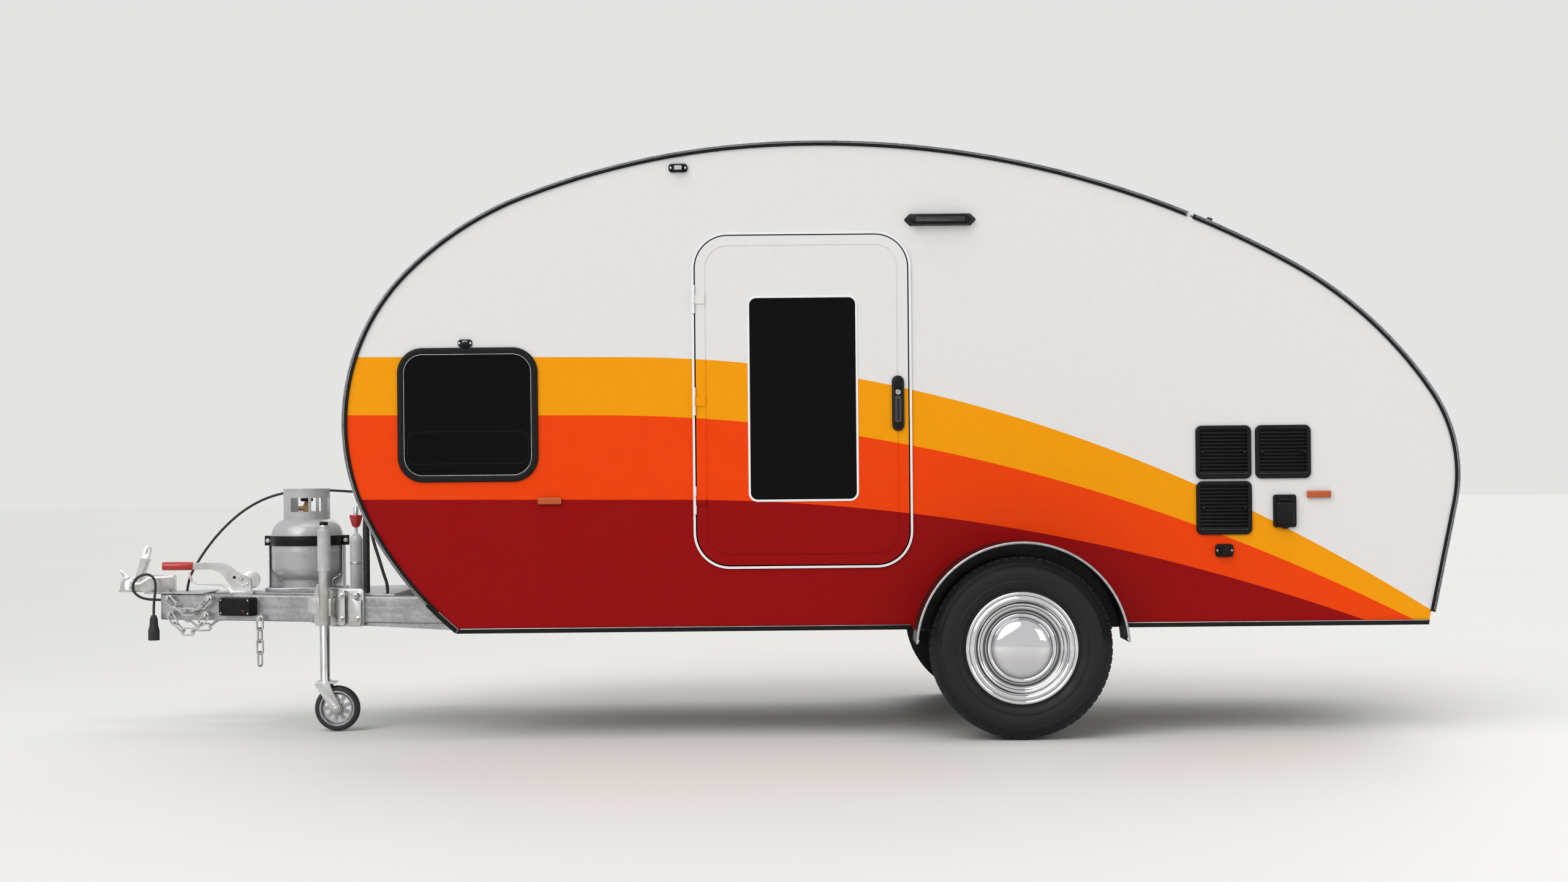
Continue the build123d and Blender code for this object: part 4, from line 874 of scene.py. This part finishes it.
def service_inlets():
    bm = bmesh.new()
    x, z = INLET_AT
    join(bm, slab(0.083, 0.118, 0.010, 0.014, 0.003), on_wall(x, z))
    join(bm, slab(0.067, 0.086, 0.012, 0.015, 0.006, 0.94), on_wall(x, z - 0.008, 0.0138))
    join(bm, slab(0.046, 0.056, 0.008, 0.0022, 0.001), on_wall(x, z - 0.010, 0.0285))
    for shift in (-0.021, 0.021):
        join(bm, slab(0.011, 0.020, 0.003, 0.0135, 0.003), on_wall(x + shift, z + 0.044, 0.0138))
    hinge = on_wall(x - 0.027, z + 0.040, 0.020) @ Matrix.Rotation(pi / 2, 4, "Y")
    join(bm, rod(0.0062, 0.054, 0.001), hinge)
    join(bm, slab(0.024, 0.016, 0.004, 0.010, 0.003), on_wall(x, z - 0.056, 0.012))
    for shift in (-0.033, 0.033):
        for rise in (-0.051, 0.051):
            join(bm, pan_screw(0.0034), on_wall(x + shift, z + rise, 0.0138))
    x, z = SOCKET_AT
    join(bm, slab(0.065, 0.047, 0.012, 0.012, 0.004), on_wall(x, z))
    join(bm, lathe(SOCKET_CAP), on_wall(x, z, 0.0115))
    join(bm, lathe(SOCKET_RING), on_wall(x, z, 0.0285))
    for shift in (-0.0258, 0.0258):
        join(bm, pan_screw(0.0036), on_wall(x + shift, z, 0.0118), 2)
    return bm


detail("service_inlets", service_inlets(), "black_trim", ["black", "grey_insert_and_highlight", "zinc"])

# Tyres: radius and distance out from the wheel's middle, from the inner bead over the tread to the outer bead
TYRE_SIDE = [(0.1805, 0.066), (0.196, 0.0715), (0.201, 0.074), (0.206, 0.0735), (0.226, 0.087),
             (0.232, 0.0875), (0.2335, 0.0895), (0.2365, 0.0895), (0.238, 0.0885), (0.252, 0.0925),
             (0.268, 0.0928), (0.282, 0.0895), (0.2835, 0.0908), (0.2865, 0.0902), (0.288, 0.0875),
             (0.300, 0.0815), (0.309, 0.0745), (0.3155, 0.0655)]
TREAD_ROWS = [(0.3155, 0.0655), (0.3165, 0.047), (0.3130, 0.0445), (0.3130, 0.0385), (0.3172, 0.036),
              (0.3178, 0.0145), (0.3135, 0.012), (0.3135, 0.006), (0.318, 0.004)]
TREAD_STEPS = 336
BLOCK_BANDS = [(0.0145, 0.036), (0.047, 0.0655)]
BLOCK_LENGTH = 5
BLOCK_STAGGER = 2
BLOCK_HEIGHT = 0.0052
SHOULDER_OUT = 0.0655
RIB_START = 0.300
RIB_HEIGHT = 0.0022


def tyre():
    part = lathe(mirrored(TYRE_SIDE + TREAD_ROWS[1:]), TREAD_STEPS)
    blocks = []
    ribs = []
    for face in part.faces:
        at = face.calc_center_median()
        turn = Vector((1, 0)).angle_signed(at.xy, 0.0) % tau
        step = int(turn / tau * TREAD_STEPS)
        row = abs(at.z)
        stagger = BLOCK_STAGGER if row < BLOCK_BANDS[0][1] else 0
        on_block = any(low < row < high for low, high in BLOCK_BANDS)
        if on_block and (step + stagger) % BLOCK_LENGTH:
            blocks.append(face)
        if row > SHOULDER_OUT and at.xy.length > RIB_START and step % 2:
            ribs.append(face)
    bmesh.ops.inset_region(part, faces=blocks, thickness=0.0006, depth=BLOCK_HEIGHT, use_even_offset=True)
    bmesh.ops.inset_region(part, faces=ribs, thickness=0.0004, depth=RIB_HEIGHT, use_even_offset=True)
    bm = bmesh.new()
    join(bm, part, on_axle(WHEEL))
    return bm


left_and_right("tyre", tyre, "tyre", ["tyre"])

# Chrome trim ring and moon cap: radius and distance out from the wheel's middle
CHROME = [(0.171, 0.071), (0.197, 0.0735), (0.2005, 0.0755), (0.2010, 0.0785), (0.1990, 0.0815),
          (0.1960, 0.0845), (0.1925, 0.0855), (0.1890, 0.0845), (0.1865, 0.0825), (0.1835, 0.0822),
          (0.1805, 0.0840), (0.1775, 0.0862), (0.1740, 0.0866), (0.1705, 0.0850), (0.1680, 0.0828),
          (0.1650, 0.0815), (0.1625, 0.0780), (0.1590, 0.0722), (0.1560, 0.0690), (0.1530, 0.0686),
          (0.1500, 0.0672), (0.1470, 0.0636), (0.1420, 0.0618), (0.1300, 0.0612), (0.1245, 0.0618),
          (0.1225, 0.0650), (0.1205, 0.0690), (0.1175, 0.0702), (0.1145, 0.0704), (0.1115, 0.0694),
          (0.1090, 0.0668), (0.1062, 0.0658), (0.1035, 0.0668)]
DOME_RADIUS, DOME_FOOT = CHROME[-1]
DOME_RISE = 0.0312
DOME_ROWS = 10


def hubcap():
    dome = []
    for row in range(1, DOME_ROWS + 1):
        turn = pi / 2 * row / DOME_ROWS
        dome.append((DOME_RADIUS * cos(turn), DOME_FOOT + DOME_RISE * sin(turn)))
    bm = bmesh.new()
    join(bm, lathe(CHROME + dome, 128), on_axle(WHEEL))
    return bm


left_and_right("hubcap", hubcap, "chrome", ["chrome"])

# Jockey wheel: round tyre, and the nuts on its axle
JOCKEY_SIDE = [(0.0655, 0.0195), (0.069, 0.0222), (0.0735, 0.0224), (0.0785, 0.0196), (0.0826, 0.0135),
               (0.0828, 0.0105), (0.0818, 0.0095), (0.0838, 0.0085), (0.0846, 0.004)]
JOCKEY_NUT_OUT = 0.034


def jockey_tyre():
    bm = bmesh.new()
    join(bm, lathe(mirrored(JOCKEY_SIDE), 72), on_axle(JOCKEY_WHEEL))
    return bm


detail("jockey_tyre", jockey_tyre(), "tyre", ["hose"])


def jockey_axle_nuts():
    bm = bmesh.new()
    for side in (-1, 1):
        place = JOCKEY_WHEEL + Vector((0, side * JOCKEY_NUT_OUT, 0))
        join(bm, hex_head(0.021, 0.006), turned_to((0, side, 0), place))
    return bm


piece("jockey_axle_nuts", jockey_axle_nuts(), BODY_OF["jockey_fork"], ["zinc"])

# Jockey tube, as radius and height: thin tube, bright sleeve with rolled ends, chrome neck and black cap
INNER_TUBE = [(0.0, 0.170), (0.0183, 0.170), (0.0183, 0.0005), (0.0190, 0.0), (0.0208, 0.0), (0.0215, 0.001),
              (0.0215, 0.202)]
SLEEVE = [(0.0214, 0.201), (0.0242, 0.2012), (0.0250, 0.2025), (0.0250, 0.206), (0.0244, 0.2075),
          (0.0244, 0.3490), (0.0250, 0.3505), (0.0250, 0.3545), (0.0242, 0.3558), (0.0194, 0.3560)]
NECK = [(0.0195, 0.3555), (0.0195, 0.3600), (0.0183, 0.3612), (0.0183, 0.3640), (0.0195, 0.3652),
        (0.0195, 0.3710), (0.0185, 0.3730), (0.0155, 0.3732)]
TUBE_CAP = [(0.0158, 0.3728), (0.0160, 0.3745), (0.0160, 0.3830), (0.0150, 0.3856), (0.0125, 0.3869),
            (0.0, 0.3870)]


def jockey_tube():
    bm = bmesh.new()
    at = Matrix.Translation((JOCKEY_TUBE.x, JOCKEY_TUBE.y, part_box("jockey_tube")[0].z))
    for finish, (section, steps) in enumerate([(INNER_TUBE, 48), (SLEEVE, 48), (NECK, 40), (TUBE_CAP, 40)]):
        join(bm, lathe(section, steps), at, finish)
    return bm


detail("jockey_tube", jockey_tube(), "zinc", ["zinc", "silver", "chrome", "black"])

# Gas bottle: foot ring, pressed body with weld seam, pierced collar, valve with hand wheel
BOTTLE_BODY = [(0.0, 0.004), (0.094, 0.004), (0.094, 0.0), (0.098, 0.0), (0.098, 0.028), (0.104, 0.033),
               (0.118, 0.040), (0.129, 0.052), (0.1355, 0.066), (0.137, 0.080), (0.137, 0.132),
               (0.1375, 0.134), (0.1375, 0.142), (0.137, 0.144), (0.137, 0.196), (0.1355, 0.212),
               (0.130, 0.228), (0.119, 0.243), (0.104, 0.256), (0.080, 0.267), (0.050, 0.274),
               (0.030, 0.278), (0.0, 0.280)]
COLLAR_ROLL = [(0.0872, 0.377), (0.0885, 0.380), (0.0905, 0.380), (0.091, 0.377), (0.0905, 0.374),
               (0.0885, 0.374), (0.0872, 0.377)]
VALVE = [(0.024, 0.276), (0.022, 0.284), (0.014, 0.288), (0.014, 0.318), (0.010, 0.322), (0.010, 0.330),
         (0.0, 0.330)]
HAND_WHEEL = [(0.0, 0.350), (0.006, 0.350), (0.007, 0.346), (0.020, 0.345), (0.0245, 0.342), (0.0245, 0.334),
              (0.020, 0.331), (0.0, 0.330)]
COLLAR_RADIUS = 0.0895
COLLAR_ROWS = (0.254, 0.276, 0.291, 0.345, 0.352, 0.376, 0.380)
COLLAR_STEPS = 240
FACE_WINDOWS = ((-0.049, 0.021), (0.033, 0.067))
END_WINDOW = 0.030


def collar_window(at):
    """Whether a place on the collar lies in one of its cut-outs."""
    front = any(low < at.x < high for low, high in FACE_WINDOWS)
    return COLLAR_ROWS[2] < at.z < COLLAR_ROWS[3] and (front or abs(at.y) < END_WINDOW)


def gas_bottle():
    bm = bmesh.new()
    at = Matrix.Translation(BOTTLE_FOOT)
    join(bm, lathe(BOTTLE_BODY, 72), at)
    collar = lathe([(COLLAR_RADIUS, height) for height in COLLAR_ROWS], COLLAR_STEPS)
    windows = [face for face in collar.faces if collar_window(face.calc_center_median())]
    bmesh.ops.delete(collar, geom=windows, context="FACES")
    bmesh.ops.recalc_face_normals(collar, faces=collar.faces)
    bmesh.ops.solidify(collar, geom=collar.faces[:], thickness=0.003)
    join(bm, collar, at)
    join(bm, lathe(COLLAR_ROLL, 96), at)
    join(bm, lathe(VALVE, 32), at, 1)
    outlet = Matrix.Translation((0, 0, 0.304)) @ Matrix.Rotation(-pi / 2, 4, "Y")
    join(bm, rod(0.0095, 0.034, 0.001), at @ outlet, 1)
    join(bm, lathe(HAND_WHEEL, 32), at, 2)
    return bm


detail("gas_bottle", gas_bottle(), "bottle_paint", ["bottle", "brass", "black"])

# Fire extinguisher: slim silver body with a bright band, red flared head and valve
EXTINGUISHER_BODY = [(0.0, 0.002), (0.020, 0.002), (0.0215, 0.0), (0.0232, 0.0015), (0.024, 0.005),
                     (0.024, 0.196), (0.0225, 0.204), (0.0185, 0.2115), (0.0125, 0.218), (0.0085, 0.2215),
                     (0.0062, 0.226), (0.006, 0.246)]
EXTINGUISHER_HEAD = [(0.006, 0.245), (0.0135, 0.2495), (0.0155, 0.252), (0.0248, 0.284), (0.025, 0.287),
                     (0.025, 0.2915), (0.0242, 0.293), (0.0085, 0.293)]
EXTINGUISHER_BAND = [(0.0240, 0.104), (0.0247, 0.1055), (0.0247, 0.1125), (0.0240, 0.114)]
EXTINGUISHER_VALVE = [(0.009, 0.2925), (0.009, 0.3205), (0.0078, 0.3225), (0.0052, 0.3265), (0.0, 0.327)]


def fire_extinguisher():
    bm = bmesh.new()
    at = Matrix.Translation(EXTINGUISHER_FOOT)
    join(bm, lathe(EXTINGUISHER_BODY, 40), at)
    join(bm, lathe(EXTINGUISHER_HEAD, 40), at, 1)
    join(bm, lathe(EXTINGUISHER_VALVE, 28), at, 2)
    join(bm, lathe(EXTINGUISHER_BAND, 40), at, 2)
    for rise in (0.262, 0.270, 0.278):
        join(bm, lathe([(0.0165, -0.0012), (0.0252 - 0.3 * (0.287 - rise), 0.0), (0.0165, 0.0012)], 40),
             at @ Matrix.Translation((0, 0, rise)), 1)
    return bm


detail("fire_extinguisher", fire_extinguisher(), "extinguisher_paint", ["silver", "red", "zinc"])

# Handbrake: eased lever and bracket in zinc, with a red grip
GRIP_LENGTH = 0.1165


def handbrake():
    part = eased_copy("handbrake", 0.0015)
    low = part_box("handbrake")[0]
    for face in part.faces:
        if face.calc_center_median().x < low.x + GRIP_LENGTH:
            face.material_index = 1
    return part


piece("handbrake_eased", handbrake(), "trailer", ["zinc", "red"], ["handbrake"])


# Breakaway box: lidded black case with screws and a small lamp
def breakaway_box():
    low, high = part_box("breakaway_box")
    turn = Matrix.Rotation(RAIL_TURN, 4, "Z") @ Matrix.Rotation(pi / 2, 4, "X")
    at = Matrix.Translation((low + high) / 2) @ turn
    bm = bmesh.new()
    join(bm, slab(0.143, 0.071, 0.008, 0.034, 0.002), at @ Matrix.Translation((0, 0, -0.0240)))
    join(bm, slab(0.139, 0.067, 0.007, 0.0135, 0.004), at @ Matrix.Translation((0, 0, 0.0103)))
    for shift in (-0.060, 0.060):
        for rise in (-0.025, 0.025):
            join(bm, pan_screw(0.0034), at @ Matrix.Translation((shift, rise, 0.0232)), 1)
    join(bm, pan_screw(0.0036), at @ Matrix.Translation((0.038, -0.016, 0.0234)), 2)
    return bm


detail("breakaway_box", breakaway_box(), "black_trim", ["black", "zinc", "red"])

# Tail lamps: amber, red and clear fields in a black surround on the hatch's straight tail
TAIL_LEAN = radians(-101.9)
TAIL_LAMP_AT = (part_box("tail_lamps")[0].x + 0.0268, -0.660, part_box("tail_lamps")[1].z - 0.1272)
TAIL_FIELDS = [(0.0815, 1), (0.0, 0), (-0.0815, 2)]


def tail_lamps():
    bm = bmesh.new()
    at = turned_to((-sin(TAIL_LEAN), 0, cos(TAIL_LEAN)), TAIL_LAMP_AT)
    join(bm, slab(0.090, 0.260, 0.020, 0.012, 0.004), at, 3)
    for rise, finish in TAIL_FIELDS:
        join(bm, slab(0.075, 0.076, 0.010, 0.0115, 0.004), at @ Matrix.Translation((0, rise, 0.0115)), finish)
    for rise in (-0.0408, 0.0408):
        join(bm, pan_screw(0.0022), at @ Matrix.Translation((0, rise, 0.0118)), 4)
    return both_sides(bm)


detail("tail_lamps", tail_lamps(), "red_lens", ["red_lens", "amber", "clear_lens", "black", "zinc"])

# Cords: the routes of the CAD tubes as control points, in metres
ARCHED_ROUTE = [(-1.4443, 0.118, 0.875), (-1.530, 0.119, 0.881), (-1.640, 0.120, 0.890),
                (-1.760, 0.121, 0.897), (-1.868, 0.120, 0.891), (-1.966, 0.114, 0.864),
                (-2.052, 0.106, 0.814), (-2.126, 0.096, 0.746), (-2.186, 0.085, 0.672),
                (-2.232, 0.074, 0.598), (-2.254, 0.066, 0.548), (-2.259, 0.063, 0.504)]
LEAD_ROUTE = [(-2.330, -0.050, 0.478), (-2.370, -0.050, 0.478), (-2.410, -0.062, 0.486),
              (-2.438, -0.075, 0.512), (-2.434, -0.081, 0.550), (-2.406, -0.085, 0.575),
              (-2.372, -0.087, 0.580), (-2.348, -0.088, 0.560), (-2.346, -0.088, 0.518),
              (-2.3545, -0.088, 0.468), (-2.3545, -0.088, 0.421)]
NOSE_ROUTE = [(-1.4120, -0.300, 0.800), (-1.464, -0.300, 0.786), (-1.481, -0.300, 0.750),
              (-1.470, -0.300, 0.696), (-1.450, -0.300, 0.634), (-1.434, -0.300, 0.577),
              (-1.420, -0.300, 0.540), (-1.420, -0.300, 0.508)]
CORD_RADIUS = 0.005
NOSE_LEAD_RADIUS = 0.006
PLUG_BODY = [(0.0, 0.004), (0.017, 0.004), (0.0172, 0.0), (0.0205, 0.0), (0.0218, 0.0012), (0.0218, 0.038),
             (0.0205, 0.041), (0.0205, 0.045), (0.0190, 0.0465), (0.0190, 0.050), (0.0178, 0.0515),
             (0.0178, 0.055), (0.0165, 0.0565), (0.0155, 0.078), (0.0140, 0.086), (0.0095, 0.0965),
             (0.0, 0.0968)]


def cord(name, route, radius):
    """A round cord on one smooth spline through its route, in place of the CAD tube of the same name."""
    line = bpy.data.curves.new(name, "CURVE")
    line.dimensions = "3D"
    line.bevel_depth = radius
    line.bevel_resolution = 5
    line.resolution_u = 10
    line.use_fill_caps = True
    spline = line.splines.new("NURBS")
    spline.points.add(len(route) - 1)
    for point, place in zip(spline.points, route):
        point.co = (*place, 1)
    spline.order_u = 3
    spline.use_endpoint_u = True
    line.materials.append(FINISHES["hose"])
    made = bpy.data.objects.new(f"{name}_cord", line)
    bpy.context.scene.collection.objects.link(made)
    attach(made, "trailer")
    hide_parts(name)
    return made


def lead_plug():
    """Round trailer plug hanging on its lead: body, grip rings, boot and keyway."""
    bm = bmesh.new()
    at = Matrix.Translation(PLUG_FOOT)
    join(bm, lathe(PLUG_BODY, 36), at)
    join(bm, slab(0.008, 0.034, 0.002, 0.004, 0.001),
         at @ Matrix.Translation((0, -0.0200, 0.020)) @ Matrix.Rotation(pi / 2, 4, "X"))
    return bm


arched_cable = cord("arched_cable", ARCHED_ROUTE, CORD_RADIUS)
nose_lead = cord("nose_lead", NOSE_ROUTE, NOSE_LEAD_RADIUS)
plug = detail("lead_plug", lead_plug(), "rubber", ["hose"])
plug_lead = cord("plug_lead", LEAD_ROUTE, CORD_RADIUS)

# Bolts on the coupling plate, the handbrake's gusset, the jockey clamp and the strap's ears
PLATE_BOLTS = [(-2.375, -0.042), (-2.375, 0.042), (-2.310, -0.042), (-2.310, 0.042)]
PLATE_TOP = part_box("drawbar_plates")[1].z
BRAKE_FACE = middle("handbrake").y - 0.007
BRAKE_BOLT = (-1.999, BRAKE_FACE, 0.560)
BRAKE_SCREWS = [(-1.990, BRAKE_FACE, 0.534), (-1.975, BRAKE_FACE, 0.541)]
BRAKE_HOLE = (-2.025, BRAKE_FACE, 0.567)
HOLE_RIM = [(0.0058, 0.0), (0.0058, 0.0008), (0.0040, 0.0008), (0.0036, 0.0002), (0.0, 0.0002)]
LEFTWARD = (0, -1, 0)
TUBE_OUT = 0.078
CLAMP_BOLTS = [(-0.036, 0.418, 0.035), (0.060, 0.505, 0.059), (0.062, 0.418, 0.059), (0.124, 0.418, 0.049),
               (0.116, 0.504, 0.055)]


def on_clamp(along, height, out):
    """A place on the jockey clamp: along the rail from the tube, and out from the rail's middle."""
    return (Matrix.Translation((JOCKEY_TUBE.x, JOCKEY_TUBE.y, height)) @ Matrix.Rotation(RAIL_TURN, 4, "Z")
            @ Matrix.Rotation(pi / 2, 4, "X") @ Matrix.Translation((along, 0, out - TUBE_OUT)))


def bolts():
    bm = bmesh.new()
    for x, y in PLATE_BOLTS:
        join(bm, hex_head(0.017, 0.008), Matrix.Translation((x, y, PLATE_TOP)))
    join(bm, hex_head(0.016, 0.007), turned_to(LEFTWARD, BRAKE_BOLT))
    for place in BRAKE_SCREWS:
        join(bm, pan_screw(0.0050), turned_to(LEFTWARD, place))
    # The hole is a disc in shadow black: painted shade
    join(bm, lathe(HOLE_RIM, 24), turned_to(LEFTWARD, BRAKE_HOLE), 1)
    for along, height, out in CLAMP_BOLTS:
        join(bm, hex_head(0.018, 0.009), on_clamp(along, height, out))
    strap_low, strap_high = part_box("bottle_strap")
    strap_middle = (strap_low.z + strap_high.z) / 2
    for x in (strap_low.x + 0.012, strap_high.x - 0.012):
        join(bm, hex_head(0.012, 0.005), turned_to(LEFTWARD, (x, -0.012, strap_middle)))
    return bm


piece("drawbar_bolts", bolts(), "trailer", ["zinc", "deep_black"])


# Floor, lights and camera
def studio_floor():
    mesh = bpy.data.meshes.new("studio_floor")
    bm = bmesh.new()
    bmesh.ops.create_circle(bm, cap_ends=True, segments=96, radius=60.0)
    bmesh.ops.translate(bm, vec=(0, 0, -0.0005), verts=bm.verts)
    bm.to_mesh(mesh)
    bm.free()
    floor = bpy.data.objects.new("studio_floor", mesh)
    bpy.context.scene.collection.objects.link(floor)
    finish = Finish("studio_floor", linear(224, 223, 221), 0.6)
    cloud = finish.noise(0.6, 3.0)
    finish.feed("Base Color", finish.mix(cloud, linear(224, 223, 221), linear(219, 218, 216)))
    mesh.materials.append(finish.material)


def softbox(name, at, target, size, watts):
    """A rectangular soft light aimed at a point."""
    light = bpy.data.lights.new(name, "AREA")
    light.shape = "RECTANGLE"
    light.size, light.size_y = size
    light.energy = watts
    lamp = bpy.data.objects.new(name, light)
    lamp.matrix_world = turned_to(Vector(at) - Vector(target), at)
    bpy.context.scene.collection.objects.link(lamp)


def soft_sun(name, towards, strength):
    """An even light over the whole floor, soft-edged, from a direction."""
    light = bpy.data.lights.new(name, "SUN")
    light.energy = strength
    light.angle = radians(50)
    lamp = bpy.data.objects.new(name, light)
    lamp.matrix_world = turned_to(towards, (0, 0, 8))
    bpy.context.scene.collection.objects.link(lamp)


FILL_STRENGTH = 0.50
SEEN_STRENGTH = 0.78


def studio_world():
    """Pale surroundings: what the camera and reflections see, and a softer fill for the light."""
    world = bpy.data.worlds.new("studio")
    bpy.context.scene.world = world
    world.use_nodes = True
    tree = world.node_tree
    background = tree.nodes["Background"]
    path = tree.nodes.new("ShaderNodeLightPath")
    seen = path.outputs["Is Camera Ray"]
    for kind in ("Is Glossy Ray", "Is Transmission Ray"):
        either = tree.nodes.new("ShaderNodeMath")
        either.operation = "MAXIMUM"
        tree.links.new(seen, either.inputs[0])
        tree.links.new(path.outputs[kind], either.inputs[1])
        seen = either.outputs[0]
    strength = tree.nodes.new("ShaderNodeMapRange")
    tree.links.new(seen, strength.inputs["Value"])
    strength.inputs["To Min"].default_value = FILL_STRENGTH
    strength.inputs["To Max"].default_value = SEEN_STRENGTH
    background.inputs["Color"].default_value = (1.0, 0.995, 0.985, 1.0)
    tree.links.new(strength.outputs[0], background.inputs["Strength"])


CAMERA_AT = (0.0806, -10.28, 0.984)
CAMERA_LENS = 60.7
HORIZON_SHIFT = 36 / 2560
CAMERA_ROLL = radians(-0.55)


def camera():
    lens_data = bpy.data.cameras.new("camera")
    lens_data.lens = CAMERA_LENS
    lens_data.sensor_width = 36.0
    lens_data.shift_y = HORIZON_SHIFT
    lens_data.clip_end = 200.0
    made = bpy.data.objects.new("camera", lens_data)
    made.matrix_world = (Matrix.Translation(CAMERA_AT) @ Matrix.Rotation(pi / 2, 4, "X")
                         @ Matrix.Rotation(CAMERA_ROLL, 4, "Z"))
    bpy.context.scene.collection.objects.link(made)
    bpy.context.scene.camera = made


studio_floor()
studio_world()
soft_sun("key", (-0.45, -0.75, 0.80), 1.28)
soft_sun("back", (0.30, 0.80, 0.70), 0.90)
softbox("left_reflector", (-5.0, -7.0, 4.0), (0, -0.8, 1.0), (4.0, 3.0), 90)
softbox("right_reflector", (6.0, -6.0, 3.0), (0.5, -0.8, 1.0), (3.0, 3.0), 60)
softbox("overhead", (0, -1.0, 6.0), (0, 0, 1.0), (6.0, 2.0), 60)
camera()
bpy.context.scene.view_settings.view_transform = "Standard"
